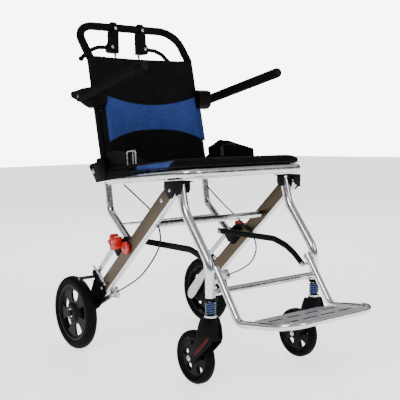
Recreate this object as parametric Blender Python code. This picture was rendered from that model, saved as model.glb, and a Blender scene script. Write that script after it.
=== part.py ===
"""Folding travel wheelchair, pushed by an attendant.

Metres, +Z up. The chair faces -Y and its left side is +X. The floor is z = 0.
Side views are written as (y, z) pairs. Every y is measured from the rear axle,
and AXLE_Y moves the whole chair so that the origin is below its middle.
"""
import math

import bmesh
import bpy
from mathutils import Matrix, Vector

# ---------------------------------------------------------------- driving dimensions
AXLE_Y = 0.3222            # rear axle, from the origin
GAP = 0.0003               # between pieces that touch
PIN = 0.0040               # radius of the pivot pins
PIN_HOLE = 0.0044          # radius of the holes on those pins

REAR_WHEEL_R = 0.100
REAR_WHEEL_X = 0.228
REAR_TYRE_W = 0.029
CASTER_R = 0.063
CASTER_X = 0.1675
CASTER_W = 0.024
CASTER_AXLE = (-0.4575, 0.063)
STEM_Y = -0.516

HIP = (-0.416, 0.4505)             # pivot that both pairs of legs share
LEG_SLOPE = math.radians(41.0)     # rear legs, below the horizontal
REAR_LEG_X = 0.1895
REAR_LEG_W = 0.018
REAR_LEG_D = 0.036
REAR_LEG_LENGTH = 0.435
FRONT_LEG_X = 0.1675
FRONT_LEG_R = 0.011
FRONT_LEG_FOOT_Z = 0.2050
FOOTREST_PIVOT = (-0.516, 0.2695)
LINK_FRONT = (-0.508, 0.250)
LINK_REAR = (-0.187, 0.305)
LINK_X = 0.1365
LINK_T = 0.004
STRUT_TOP = (-0.084, 0.459)
STRUT_BEND = (-0.0935, 0.380)
STRUT_X = 0.1645
STRUT_R = 0.0095

SEAT_TILT = math.radians(4.24)     # the seat rises towards its front
SEAT_REAR = (-0.106, 0.4626)       # middle of the rear rail
SEAT_LENGTH = 0.354                # between the middles of the rear and front rails
SEAT_HALF = 0.189                  # middle of the side rails, across
RAIL_W = 0.022
RAIL_H = 0.023
CUSHION_T = 0.023

BACK_HINGE = (-0.100, 0.512)
BACK_FOOT = (-0.0779, 0.490)
BACK_BEND = (-0.0165, 0.790)
HANDLE_TOP = (0.060, 0.888)
HANDLE_HALF = 0.1700               # half the width of the bow's top
BACK_X = 0.1675
BACK_TUBE_R = 0.0093
GRIP_R = 0.0112
ARM_PIVOT = (-0.052, 0.684)
ARM_TIP = (-0.349, 0.741)
ARM_X = 0.2160
ARM_R = 0.0128
BRAKE_X = 0.048                    # hand brakes, across
LEVER_PIVOT_Z = 0.832
PARKING_PIVOT = (-0.066, 0.184)
PRESS_BAR = (-0.050, 0.2015)
BRAKE_ARM_PIVOT = (-0.072, 0.130)
BRAKE_ARM_END = (-0.132, 0.160)
ROD_PERP = 0.0535                  # guide rod, above the middle of the rear leg
ROD_R = 0.0052
CABLE_R = 0.0022
CABLE_ROUTES = {                   # lower brake cables, from the seat to the brake arm
    "right": ((-0.2365, 0.4290), (-0.2886, 0.4030), (-0.3179, 0.3853), (-0.3345, 0.3573),
              (-0.3394, 0.3238), (-0.3168, 0.2855), (-0.2591, 0.2328), (-0.1979, 0.1975)),
    "left": ((-0.1190, 0.4010), (-0.1600, 0.3750), (-0.2000, 0.3520), (-0.2320, 0.3310),
             (-0.2736, 0.3019), (-0.2900, 0.2774), (-0.2882, 0.2496), (-0.2637, 0.2188),
             (-0.2209, 0.1946), (-0.1768, 0.1768)),
}

SIDES = (("right", -1.0), ("left", 1.0))

# ---------------------------------------------------------------- materials
FINISHES = {
    "polished": ((0.78, 0.79, 0.80), 0.16, 1.0),
    "bronze": ((0.23, 0.17, 0.12), 0.32, 0.85),
    "steel": ((0.55, 0.56, 0.58), 0.30, 1.0),
    "black_paint": ((0.012, 0.012, 0.013), 0.35, 0.0),
    "black_plastic": ((0.020, 0.020, 0.022), 0.50, 0.0),
    "grey_plastic": ((0.055, 0.055, 0.060), 0.45, 0.0),
    "foam": ((0.014, 0.014, 0.015), 0.80, 0.0),
    "fabric": ((0.016, 0.016, 0.018), 0.90, 0.0),
    "webbing": ((0.020, 0.020, 0.022), 0.85, 0.0),
    "rubber": ((0.018, 0.018, 0.019), 0.75, 0.0),
    "rim": ((0.010, 0.010, 0.011), 0.22, 0.0),
    "red": ((0.62, 0.03, 0.02), 0.35, 0.0),
    "blue": ((0.02, 0.07, 0.32), 0.35, 0.4),
    "cable": ((0.30, 0.30, 0.31), 0.45, 0.0),
}


def material(name):
    found = bpy.data.materials.get(name)
    if found:
        return found
    colour, roughness, metallic = FINISHES[name]
    made = bpy.data.materials.new(name)
    made.use_nodes = True
    shader = made.node_tree.nodes["Principled BSDF"]
    shader.inputs["Base Color"].default_value = (*colour, 1.0)
    shader.inputs["Roughness"].default_value = roughness
    shader.inputs["Metallic"].default_value = metallic
    made.diffuse_color = (*colour, 1.0)
    return made


# ---------------------------------------------------------------- places
def at(x, yz):
    """World point from an x and a side-view pair."""
    return Vector((x, yz[0] + AXLE_Y, yz[1]))


def on_leg(along, perp):
    """Side-view pair at a distance along the rear leg from the hip, and above its middle."""
    c, s = math.cos(LEG_SLOPE), math.sin(LEG_SLOPE)
    return HIP[0] + along * c + perp * s, HIP[1] - along * s + perp * c


def on_seat(forward, up):
    """Side-view pair measured from the rear rail, along and square to the sloping seat."""
    c, s = math.cos(SEAT_TILT), math.sin(SEAT_TILT)
    return SEAT_REAR[0] - forward * c + up * s, SEAT_REAR[1] + forward * s + up * c


def on_back(up, forward):
    """Side-view pair measured from the foot of the back tube, along and in front of it."""
    run = Vector(BACK_BEND) - Vector(BACK_FOOT)
    d = run.normalized()
    return BACK_FOOT[0] + up * d.x - forward * d.y, BACK_FOOT[1] + up * d.y + forward * d.x


# ---------------------------------------------------------------- objects
def clear_scene():
    for obj in list(bpy.data.objects):
        bpy.data.objects.remove(obj, do_unlink=True)


def make_object(name, bm, finish, pivot=None):
    """Turns a bmesh built in world coordinates into an object with its origin on pivot."""
    bmesh.ops.recalc_face_normals(bm, faces=bm.faces)
    mesh = bpy.data.meshes.new(name)
    bm.to_mesh(mesh)
    bm.free()
    obj = bpy.data.objects.new(name, mesh)
    bpy.context.scene.collection.objects.link(obj)
    mesh.materials.append(material(finish))
    mesh.shade_smooth()
    mesh.set_sharp_from_angle(angle=math.radians(35))
    if pivot is not None:
        mesh.transform(Matrix.Translation(-pivot))
        obj.location = pivot
    return obj


def combine(obj, tools, operation):
    """Applies Boolean modifiers for each tool in turn, and removes the tools."""
    for tool in tools:
        modifier = obj.modifiers.new("cut", "BOOLEAN")
        modifier.operation = operation
        modifier.solver = "EXACT"
        modifier.object = tool
    bpy.context.view_layer.update()
    graph = bpy.context.evaluated_depsgraph_get()
    mesh = bpy.data.meshes.new_from_object(obj.evaluated_get(graph))
    obj.modifiers.clear()
    obj.data = mesh
    for tool in tools:
        bpy.data.objects.remove(tool, do_unlink=True)
    mesh.shade_smooth()
    mesh.set_sharp_from_angle(angle=math.radians(35))
    return obj


def cut(obj, *tools):
    return combine(obj, tools, "DIFFERENCE")


def join(obj, *tools):
    return combine(obj, tools, "UNION")


# ---------------------------------------------------------------- shapes
def circle(radius, sides):
    step = 2 * math.pi / sides
    return [(radius * math.cos(step * i), radius * math.sin(step * i)) for i in range(sides)]


def rounded_box(half_w, half_h, radius, corner_steps=3):
    """Closed outline of a rectangle with round corners."""
    points = []
    for quarter, (sx, sy) in enumerate(((1, 1), (-1, 1), (-1, -1), (1, -1))):
        for i in range(corner_steps + 1):
            angle = math.pi / 2 * (quarter + i / corner_steps)
            points.append((sx * (half_w - radius) + radius * math.cos(angle),
                           sy * (half_h - radius) + radius * math.sin(angle)))
    return points


def fillet(points, radii, step_angle=math.radians(18), closed=False):
    """Replaces the corners of a path by arcs of the given radii (0 keeps a corner)."""
    points = [Vector(p) for p in points]
    count = len(points)
    path = []
    for i, corner in enumerate(points):
        radius = radii[i]
        if not closed and i in (0, count - 1) or radius == 0:
            path.append(corner)
            continue
        before = (points[i - 1] - corner).normalized()
        after = (points[(i + 1) % count] - corner).normalized()
        opening = before.angle(after)
        turn = math.pi - opening
        reach = radius * math.tan(turn / 2)
        start = corner + before * reach
        centre = corner + (before + after).normalized() * (radius / math.sin(opening / 2))
        axis = (start - centre).cross(corner + after * reach - centre).normalized()
        steps = max(2, math.ceil(turn / step_angle))
        for k in range(steps + 1):
            turned = Matrix.Rotation(turn * k / steps, 3, axis) @ (start - centre)
            path.append(centre + turned)
    return path


def sweep(path, section, up, closed=False, inner=None):
    """Carries a section along a path. With inner, the tube is hollow and open-ended."""
    bm = bmesh.new()
    up = Vector(up).normalized()
    count = len(path)
    rings, inner_rings = [], []
    for i, point in enumerate(path):
        ahead = path[(i + 1) % count] if closed or i < count - 1 else point
        behind = path[i - 1] if closed or i > 0 else point
        tangent = (ahead - behind).normalized()
        side = tangent.cross(up)
        if side.length < 1e-4:
            side = tangent.cross(Vector((0, 1, 0)))
        side.normalize()
        lift = side.cross(tangent).normalized()
        rings.append([bm.verts.new(point + side * a + lift * b) for a, b in section])
        if inner:
            inner_rings.append([bm.verts.new(point + side * a + lift * b) for a, b in inner])

    def skin(first, second):
        size = len(first)
        for k in range(size):
            bm.faces.new((first[k], first[(k + 1) % size], second[(k + 1) % size], second[k]))

    spans = count if closed else count - 1
    for ring_list in (rings, inner_rings):
        for i in range(spans if ring_list else 0):
            skin(ring_list[i], ring_list[(i + 1) % count])
    if not closed and inner:
        skin(rings[0], inner_rings[0])
        skin(rings[-1], inner_rings[-1])
    elif not closed:
        bm.faces.new(rings[0])
        bm.faces.new(list(reversed(rings[-1])))
    return bm


def tube(name, path, radius, finish, sides=12, up=(1, 0, 0), pivot=None, inner=0.0):
    hollow = circle(inner, sides) if inner else None
    return make_object(name, sweep(path, circle(radius, sides), up, inner=hollow), finish, pivot)


def rod(start, end, radius, sides=12, finish="steel", name="tool"):
    up = (1, 0, 0) if abs((end - start).normalized().x) < 0.9 else (0, 0, 1)
    return tube(name, [start, end], radius, finish, sides, up)


def pin(x0, x1, yz, radius=PIN, sides=12, finish="steel"):
    return rod(at(x0, yz), at(x1, yz), radius, sides, finish)


def plate(name, outline, x0, x1, finish, bevel=0.0, segments=1, pivot=None):
    """Flat piece: a side-view outline with thickness from x0 to x1, and softened rims."""
    bm = bmesh.new()
    faces = []
    for x in (x0, x1):
        faces.append(bm.faces.new([bm.verts.new(at(x, p)) for p in outline]))
    rims = [edge for face in faces for edge in face.edges]
    near, far = [list(face.verts) for face in faces]
    size = len(near)
    for k in range(size):
        bm.faces.new((near[k], near[(k + 1) % size], far[(k + 1) % size], far[k]))
    if bevel:
        bmesh.ops.bevel(bm, geom=rims, offset=bevel, offset_type="OFFSET", segments=segments,
                        profile=0.5, affect="EDGES")
    return make_object(name, bm, finish, pivot)


def block(name, x0, x1, y0, y1, z0, z1, finish, bevel=0.0, segments=2, tilt=None):
    """Box between two corners; tilt is a 4x4 matrix applied last."""
    bm = bmesh.new()
    size = Vector((x1 - x0, y1 - y0, z1 - z0))
    middle = Vector((x1 + x0, y1 + y0, z1 + z0)) / 2
    bmesh.ops.create_cube(bm, size=1.0)
    bmesh.ops.scale(bm, vec=size, verts=bm.verts)
    bmesh.ops.translate(bm, vec=middle, verts=bm.verts)
    if bevel:
        bmesh.ops.bevel(bm, geom=bm.edges[:], offset=bevel, offset_type="OFFSET",
                        segments=segments, profile=0.5, affect="EDGES")
    if tilt is not None:
        bm.transform(tilt)
    return make_object(name, bm, finish)


def disc_outline(centre, radius, sides=20):
    return [(centre[0] + a, centre[1] + b) for a, b in circle(radius, sides)]


def strip_outline(points, half, end_steps=6):
    """Outline of a bar of constant width along a side-view path, with round ends."""
    points = [Vector(p) for p in points]
    left, right = [], []
    for i, p in enumerate(points):
        first = (p - points[i - 1]).normalized() if i else None
        last = (points[i + 1] - p).normalized() if i < len(points) - 1 else None
        d = ((first or last) + (last or first)).normalized()
        spread = half / max(0.3, d.dot(first or last))
        normal = Vector((-d.y, d.x)) * spread
        left.append(p + normal)
        right.append(p - normal)

    def cap(centre, start):
        return [centre + Matrix.Rotation(-math.pi * k / end_steps, 2) @ (start - centre)
                for k in range(1, end_steps)]

    return left + cap(points[-1], left[-1]) + right[::-1] + cap(points[0], right[0])


def turned_x(name, profile, x, yz, finish, sides=32, closed=True, pivot=None):
    """Solid of revolution about an axis along X. The profile lists (x offset, radius)."""
    bm = bmesh.new()
    rings = []
    for dx, radius in profile:
        rings.append([bm.verts.new(at(x + dx, (yz[0] + a, yz[1] + b)))
                      for a, b in circle(radius, sides)])
    count = len(rings)
    for i in range(count if closed else count - 1):
        first, second = rings[i], rings[(i + 1) % count]
        for k in range(sides):
            bm.faces.new((first[k], first[(k + 1) % sides],
                          second[(k + 1) % sides], second[k]))
    return make_object(name, bm, finish, pivot)


def smooth_route(points, spacing):
    """Evenly spaced points on a smooth curve through the route's own points."""
    points = [Vector(p) for p in points]
    ends = [points[0] * 2 - points[1]] + points + [points[-1] * 2 - points[-2]]
    fine = []
    for i in range(1, len(ends) - 2):
        a, b, c, d = ends[i - 1:i + 3]
        for k in range(24):
            t = k / 24
            fine.append(0.5 * (2 * b + (c - a) * t + (2 * a - 5 * b + 4 * c - d) * t * t
                               + (3 * b - a - 3 * c + d) * t ** 3))
    fine.append(points[-1])
    total = sum((q - p).length for p, q in zip(fine, fine[1:]))
    count = max(4, round(total / spacing))
    route, walked, target = [fine[0]], 0.0, total / count
    for p, q in zip(fine, fine[1:]):
        step = (q - p).length
        while step and walked + step >= target - 1e-9 and len(route) < count:
            route.append(p.lerp(q, (target - walked) / step))
            target += total / count
        walked += step
    route.append(fine[-1])
    return route


def cable(name, points, radius, finish):
    curve = bpy.data.curves.new(name, "CURVE")
    curve.dimensions = "3D"
    curve.bevel_depth = radius
    curve.bevel_resolution = 2
    curve.use_fill_caps = True
    route = smooth_route(points, radius * 6)
    spline = curve.splines.new("POLY")
    spline.points.add(len(route) - 1)
    for target, point in zip(spline.points, route):
        target.co = (*point, 1.0)
    obj = bpy.data.objects.new(name, curve)
    bpy.context.scene.collection.objects.link(obj)
    curve.materials.append(material(finish))
    return obj


def side_name(base, side):
    return f"{base}_{side}"


# ---------------------------------------------------------------- seat
def seat_frame():
    half = SEAT_HALF
    corners = [at(x, on_seat(d, 0.0))
               for x, d in ((-half, 0), (half, 0), (half, SEAT_LENGTH), (-half, SEAT_LENGTH))]
    path = fillet(corners, [0.040] * 4, closed=True)
    up = at(0, on_seat(0, 1)) - at(0, on_seat(0, 0))
    section = rounded_box(RAIL_W / 2, RAIL_H / 2, 0.009, 2)
    make_object("seat_frame", sweep(path, section, up, closed=True), "polished")


def seat_slab(name, half, rear, front, low, high, corner, finish, bevel, segments=2):
    """Sheet or pad that lies in the seat's sloping plane, with round corners in plan."""
    bm = bmesh.new()
    middle, length = (front + rear) / 2, (front - rear) / 2
    outline = rounded_box(half, length, corner, 4)
    layers = [[bm.verts.new(at(a, on_seat(middle + b, h))) for a, b in outline]
              for h in (low, high)]
    rims = []
    for layer in layers:
        rims += bm.faces.new(layer).edges[:]
    size = len(outline)
    for k in range(size):
        bm.faces.new((layers[0][k], layers[0][(k + 1) % size],
                      layers[1][(k + 1) % size], layers[1][k]))
    if bevel:
        bmesh.ops.bevel(bm, geom=rims, offset=bevel, offset_type="OFFSET", segments=segments,
                        profile=0.5, affect="EDGES")
    make_object(name, bm, finish)


def seat_soft():
    inside = SEAT_HALF - RAIL_W / 2 - 0.0012
    seat_slab("seat_sling", inside, 0.0122, SEAT_LENGTH - 0.0122, -0.0015, 0.0015, 0.029,
              "fabric", 0.0)
    low = RAIL_H / 2 + 0.0005
    seat_slab("seat_cushion", 0.1975, 0.012, 0.350, low, low + CUSHION_T, 0.030,
              "fabric", 0.006)


def pivot_housing(side, sign):
    """Hood below the rail that carries the hip pin between two cheeks."""
    top, slab = 0.4712, 0.0026
    outer, inner = (0.1990, 0.2020), (0.1508, 0.1558)
    shield = ((HIP[0] - 0.0215, top), (HIP[0] + 0.0215, top), (HIP[0] + 0.0225, 0.4530),
              (HIP[0] + 0.0100, 0.4345), (HIP[0] + 0.0050, 0.4310), (HIP[0] - 0.0050, 0.4310),
              (HIP[0] - 0.0100, 0.4345), (HIP[0] - 0.0225, 0.4530))
    hood = plate(side_name("pivot_housing", side), shield, sign * outer[0], sign * outer[1],
                 "grey_plastic")
    middle = HIP[0] + AXLE_Y
    join(hood, block("tool", sign * inner[0], sign * (outer[1] - 0.001), middle - 0.013,
                     middle + 0.013, top - slab, top, "steel"),
         block("tool", sign * inner[0], sign * inner[1], middle - 0.008, middle + 0.008,
               HIP[1] - 0.0075, top, "steel"),
         pin(sign * 0.1500, sign * 0.2024, HIP))


def rear_bracket(side, sign):
    """Casting on the rear corner: back hinge above the rail, strut clevis below it."""
    outline = ((-0.113, 0.470), (-0.114, 0.497), (-0.108, 0.516), (-0.095, 0.5215),
               (-0.068, 0.512), (-0.049, 0.499), (-0.045, 0.486), (-0.055, 0.471),
               (-0.069, 0.460), (-0.078, 0.4525), (-0.091, 0.4525), (-0.101, 0.461))
    body = plate(side_name("rear_bracket", side), outline, sign * (0.200 + GAP), sign * 0.2045,
                 "black_plastic", 0.001)
    ear = plate("tool", ((-0.114, 0.4772), (-0.086, 0.4752), (-0.0885, 0.512), (-0.0918, 0.519),
                         (-0.100, 0.5222), (-0.108, 0.519), (-0.1115, 0.512)),
                sign * 0.1850, sign * 0.2015, "steel")
    join(body, ear, pin(sign * 0.1775, sign * 0.202, BACK_HINGE),
         pin(sign * 0.1535, sign * 0.202, STRUT_TOP))


def belt(side, sign, reach, crest):
    """Lap strap: stands in an arch on the edge of the cushion, held by its buckle end."""
    top = RAIL_H / 2 + 0.0005 + CUSHION_T
    x = sign * 0.172
    points = [at(x, on_seat(0.016, top + crest * 0.75)), at(x, on_seat(0.050, top + crest)),
              at(x, on_seat(reach * 0.6, top + crest * 0.8)),
              at(x, on_seat(reach, top + crest * 0.55)),
              at(x, on_seat(reach + 0.006, top + 0.004))]
    path = smooth_route(points, 0.012)
    section = rounded_box(0.0125, 0.0011, 0.0010, 1)
    bm = bmesh.new()
    rings = []
    for i, point in enumerate(path):
        ahead, behind = path[min(i + 1, len(path) - 1)], path[max(i - 1, 0)]
        normal = Vector((1, 0, 0)).cross((ahead - behind).normalized())
        rings.append([bm.verts.new(point + Vector((a, 0, 0)) + normal * b)
                      for a, b in section])
    for first, second in zip(rings, rings[1:]):
        for k in range(len(first)):
            j = (k + 1) % len(first)
            bm.faces.new((first[k], first[j], second[j], second[k]))
    bm.faces.new(rings[0])
    bm.faces.new(rings[-1][::-1])
    make_object(side_name("belt_strap", side), bm, "webbing")


def belt_buckle():
    """Closed buckle that lies on the cushion inside the left strap."""
    low = RAIL_H / 2 + CUSHION_T + 0.0012
    (y0, z0), turn = on_seat(0.110, low + 0.006), Matrix.Rotation(-SEAT_TILT, 4, "X")
    place = Matrix.Translation((0.138, y0 + AXLE_Y, z0)) @ turn
    block("belt_buckle", -0.0150, 0.0150, -0.026, 0.026, -0.006, 0.006, "grey_plastic",
          0.0035, 2, place)


# ---------------------------------------------------------------- back and handle
def bow_path():
    """Middle line of the bent tube: up one side, over the handle, and down the other."""
    half = [at(-BACK_X, BACK_FOOT), at(-BACK_X, BACK_BEND), at(-HANDLE_HALF, HANDLE_TOP)]
    mirrored = [Vector((-p.x, p.y, p.z)) for p in reversed(half)]
    return fillet(half + mirrored, [0, 0.050, 0.057, 0.057, 0.050, 0])


def back_frame():
    frame = tube("back_frame", bow_path(), BACK_TUBE_R, "black_paint", 12, (0, 1, 0.1),
                 at(0, BACK_HINGE))
    lug = strip_outline((BACK_HINGE, (-0.0760, 0.4995)), 0.0092)
    for _, sign in SIDES:
        ear = plate("tool", lug, sign * 0.1700, sign * 0.1846, "steel")
        join(frame, ear)
        cut(frame, pin(sign * 0.1772, sign * 0.19, BACK_HINGE, PIN_HOLE))
    return frame


def handle_grip():
    path = bow_path()
    covered = [p for p in path if p.z > BACK_BEND[1] + 0.014]
    tube("handle_grip", covered, GRIP_R, "foam", 12, (0, 1, 0.1), inner=BACK_TUBE_R + GAP)


def back_fabric():
    """Upholstery between the back tubes, with its bottom hem above the seat."""
    bm = bmesh.new()
    height = (Vector(BACK_BEND) - Vector(BACK_FOOT)).length
    outline = rounded_box(0.1545, (height - 0.004) / 2, 0.012, 3)
    middle = (height + 0.018) / 2
    layers = [[bm.verts.new(at(a, on_back(middle + b, depth))) for a, b in outline]
              for depth in (-0.004, 0.013)]
    rims = []
    for layer in layers:
        rims += bm.faces.new(layer).edges[:]
    for k in range(len(outline)):
        j = (k + 1) % len(outline)
        bm.faces.new((layers[0][k], layers[0][j], layers[1][j], layers[1][k]))
    bmesh.ops.bevel(bm, geom=rims, offset=0.004, offset_type="OFFSET", segments=2,
                    profile=0.5, affect="EDGES")
    make_object("back_fabric", bm, "fabric")


def arm_bracket(side, sign):
    """Clamp on the back tube with the pin that the armrest swings on."""
    outline = ((-0.077, 0.704), (-0.083, 0.692), (-0.079, 0.665), (-0.070, 0.656),
               (-0.055, 0.653), (-0.022, 0.664), (-0.008, 0.676), (0.030, 0.683),
               (0.040, 0.689), (0.041, 0.699), (0.034, 0.703), (-0.004, 0.703),
               (-0.020, 0.708), (-0.066, 0.709))
    body = plate(side_name("arm_bracket", side), outline, sign * 0.1556, sign * 0.2000,
                 "black_plastic", 0.002, 2)
    foot, bend = at(sign * BACK_X, BACK_FOOT), at(sign * BACK_X, BACK_BEND)
    cut(body, rod(foot, bend, BACK_TUBE_R + GAP, 12))
    join(body, pin(sign * 0.1960, sign * 0.2300, ARM_PIVOT, 0.0045))


def armrest(side, sign):
    """Foam-covered arm, round at the tip, with the eye for its pin."""
    run = Vector(ARM_TIP) - Vector(ARM_PIVOT)
    tail = Vector(ARM_PIVOT) - run.normalized() * 0.020
    start, end = at(sign * ARM_X, tail), at(sign * ARM_X, ARM_TIP)
    d = (end - start).normalized()
    bm = bmesh.new()
    rings = []
    steps = [(start, 0.80), (start + d * 0.004, 1.0), (end - d * 0.010, 1.0),
             (end - d * 0.004, 0.88), (end - d * 0.001, 0.62)]
    lift = Vector((1, 0, 0)).cross(d)
    for point, scale in steps:
        rings.append([bm.verts.new(point + Vector((a, 0, 0)) + lift * b)
                      for a, b in circle(ARM_R * scale, 16)])
    for first, second in zip(rings, rings[1:]):
        for k in range(16):
            j = (k + 1) % 16
            bm.faces.new((first[k], first[j], second[j], second[k]))
    bm.faces.new(rings[0])
    bm.faces.new(rings[-1][::-1])
    arm = make_object(side_name("armrest", side), bm, "foam", at(sign * ARM_X, ARM_PIVOT))
    cut(arm, pin(sign * 0.19, sign * 0.24, ARM_PIVOT, 0.0049))


def hand_brake(side, sign):
    """Housing clamped on the handle, and the lever that pivots in its slot."""
    y, z = HANDLE_TOP[0] + AXLE_Y, HANDLE_TOP[1]
    x = sign * BRAKE_X
    housing = block(side_name("brake_housing", side), x - 0.0185, x + 0.0185, y - 0.015, y + 0.013,
                    0.816, 0.879, "black_plastic", 0.004, 2)
    clamp = rod(Vector((x - 0.008, y, z)), Vector((x + 0.008, y, z)), 0.0170, 18)
    join(housing, clamp)
    bar = rod(Vector((x - 0.05, y, z)), Vector((x + 0.05, y, z)), GRIP_R + GAP, 12)
    slot_x = sorted((x - sign * 0.006, x + sign * 0.03))
    slot = block("tool", slot_x[0], slot_x[1], y - 0.0030, y + 0.0030, 0.80, 0.858, "steel")
    cut(housing, bar, slot)
    pivot = Vector((x + sign * 0.008, y, LEVER_PIVOT_Z))
    join(housing, rod(pivot - Vector((0, 0.006, 0)), pivot + Vector((0, 0.006, 0)), 0.0028, 12))

    def spot(out, up):
        return pivot.x + sign * out, LEVER_PIVOT_Z + up

    blade = strip_outline((spot(0, 0), spot(0.042, -0.002), spot(0.068, -0.012),
                           spot(0.094, -0.034)), 0.0055)
    bm = bmesh.new()
    layers = [[bm.verts.new((p.x, y + dy, p.y)) for p in blade] for dy in (-0.0025, 0.0025)]
    for layer in layers:
        bm.faces.new(layer)
    for k in range(len(blade)):
        j = (k + 1) % len(blade)
        bm.faces.new((layers[0][k], layers[0][j], layers[1][j], layers[1][k]))
    lever = make_object(side_name("brake_lever", side), bm, "black_paint", pivot)
    knob = bmesh.new()
    bmesh.ops.create_uvsphere(knob, u_segments=12, v_segments=8, radius=0.0075)
    end = spot(0.096, -0.036)
    bmesh.ops.translate(knob, vec=(end[0], y, end[1]), verts=knob.verts)
    join(lever, make_object("tool", knob, "steel"))
    cut(lever, rod(pivot - Vector((0, 0.02, 0)), pivot + Vector((0, 0.02, 0)), 0.0032, 12))


def upper_cable(side, sign):
    """From the hand brake down the inside of the back."""
    y = HANDLE_TOP[0]
    points = [at(sign * 0.040, (y, 0.8145)), at(sign * 0.040, (y - 0.003, 0.803)),
              at(sign * 0.050, (y - 0.038, 0.786)), at(sign * 0.080, on_back(0.285, -0.013)),
              at(sign * 0.115, on_back(0.22, -0.010)), at(sign * 0.138, on_back(0.12, -0.010)),
              at(sign * 0.146, on_back(0.035, -0.010))]
    cable(side_name("upper_cable", side), points, CABLE_R, "cable")


# ---------------------------------------------------------------- rear legs
def rear_leg(side, sign):
    half = REAR_LEG_D / 2
    outline = [on_leg(REAR_LEG_LENGTH, -half), on_leg(REAR_LEG_LENGTH, half)]
    for k in range(9):
        angle = math.pi / 2 + math.pi * k / 8
        outline.append(on_leg(half * math.cos(angle), half * math.sin(angle)))
    x0 = sign * (REAR_LEG_X - REAR_LEG_W / 2)
    leg = plate(side_name("rear_leg", side), outline, x0, x0 + sign * REAR_LEG_W, "bronze",
                0.006, 3)
    cut(leg, pin(sign * 0.17, sign * 0.21, HIP, PIN_HOLE))


def rear_cross_tube():
    reach = REAR_LEG_X - REAR_LEG_W / 2 - GAP
    spot = on_leg(0.1395, 0.0015)
    tube("rear_cross_tube", [at(-reach, spot), at(reach, spot)], 0.0085, "polished", 16,
         (0, 0, 1))


def hub_bracket(side, sign):
    """Plate at the leg's end with the drum, the rear axle and the guide rod's stub."""
    stub = on_leg(0.4225, ROD_PERP)
    outline = ((stub[0] - 0.006, stub[1] + 0.006), (stub[0] + 0.003, stub[1] + 0.008),
               (stub[0] + 0.0085, stub[1] - 0.0005), (-0.0700, 0.1990), (-0.0590, 0.1930),
               (-0.0560, 0.1800), (-0.0250, 0.1270), (0.0, 0.1340), (0.0240, 0.1240),
               (0.0340, 0.1000), (0.0240, 0.0760), (0.0, 0.0660), (-0.0240, 0.0760),
               (-0.0500, 0.1080), (-0.0800, 0.1210), (-0.1120, 0.1480), (-0.1130, 0.1660))
    name = side_name("hub_bracket", side)
    body = plate(name, outline, sign * 0.1990, sign * 0.2040, "black_plastic", 0.001)
    drum = turned_x("tool", ((0.0, 0.034), (0.0075, 0.034), (0.0090, 0.031), (0.0090, 0.004),
                             (0.0, 0.004)) if sign > 0 else
                    ((0.0, 0.034), (-0.0075, 0.034), (-0.0090, 0.031), (-0.0090, 0.004),
                     (0.0, 0.004)), sign * 0.2035, (0, REAR_WHEEL_R), "steel", 20)
    axle = pin(sign * 0.1930, sign * 0.2475, (0, REAR_WHEEL_R), 0.0050)
    head = pin(sign * 0.1925, sign * 0.1995, (0, REAR_WHEEL_R), 0.0085, 6)
    nut = pin(sign * 0.2435, sign * 0.2478, (0, REAR_WHEEL_R), 0.0090, 12)
    holder = pin(sign * 0.1835, sign * 0.2000, stub, 0.0065)
    lever_pin = pin(sign * 0.1850, sign * 0.2000, PARKING_PIVOT)
    arm_pin = pin(sign * 0.1915, sign * 0.2000, BRAKE_ARM_PIVOT, 0.0035)
    join(body, drum, axle, head, nut, holder, lever_pin, arm_pin)


def guide_rod(side, sign):
    start, end = on_leg(0.2790, ROD_PERP), on_leg(0.4225 - 0.0065 - GAP, ROD_PERP)
    tube(side_name("guide_rod", side), [at(sign * REAR_LEG_X, start), at(sign * REAR_LEG_X, end)],
         ROD_R, "polished", 12)


def lower_cable(side, sign, route):
    """From below the seat round the inside of the leg, and back to the brake arm."""
    points = [at(sign * 0.1773, spot) for spot in route]
    points.append(at(sign * 0.1955, (-0.1395, 0.1640)))
    cable(side_name("lower_cable", side), points, CABLE_R, "cable")


def brake_arm(side, sign):
    outline = strip_outline((BRAKE_ARM_PIVOT, BRAKE_ARM_END), 0.0062)
    arm = plate(side_name("brake_arm", side), outline, sign * 0.1930, sign * 0.1980, "steel",
                pivot=at(sign * 0.1955, BRAKE_ARM_PIVOT))
    cut(arm, pin(sign * 0.18, sign * 0.21, BRAKE_ARM_PIVOT, 0.0039))


def parking_lever(side, sign):
    """Pedal plate beside the wheel, with the bar that it presses on the tyre."""
    d = Vector((0.676, -0.737))
    n = Vector((0.737, 0.676))
    pivot = Vector(PARKING_PIVOT)

    def spot(along, off):
        p = pivot + d * along + n * off
        return p.x, p.y

    outline = [spot(a, b) for a, b in ((-0.006, -0.006), (0.030, -0.009), (0.060, -0.014),
                                       (0.118, -0.016), (0.136, -0.013), (0.145, -0.004),
                                       (0.145, 0.005), (0.136, 0.014), (0.118, 0.017),
                                       (0.060, 0.015), (0.020, 0.009))]
    outline += [(PRESS_BAR[0] + 0.006, PRESS_BAR[1] - 0.002),
                (PRESS_BAR[0] + 0.004, PRESS_BAR[1] + 0.0055),
                (PRESS_BAR[0] - 0.004, PRESS_BAR[1] + 0.005), spot(-0.008, 0.002)]
    name = side_name("parking_lever", side)
    lever = plate(name, outline, sign * 0.1865, sign * 0.1905, "polished",
                  pivot=at(sign * 0.1885, PARKING_PIVOT))
    join(lever, pin(sign * 0.1880, sign * 0.2420, PRESS_BAR, 0.0048, 12))
    cut(lever, pin(sign * 0.18, sign * 0.2, PARKING_PIVOT, PIN_HOLE))


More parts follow.
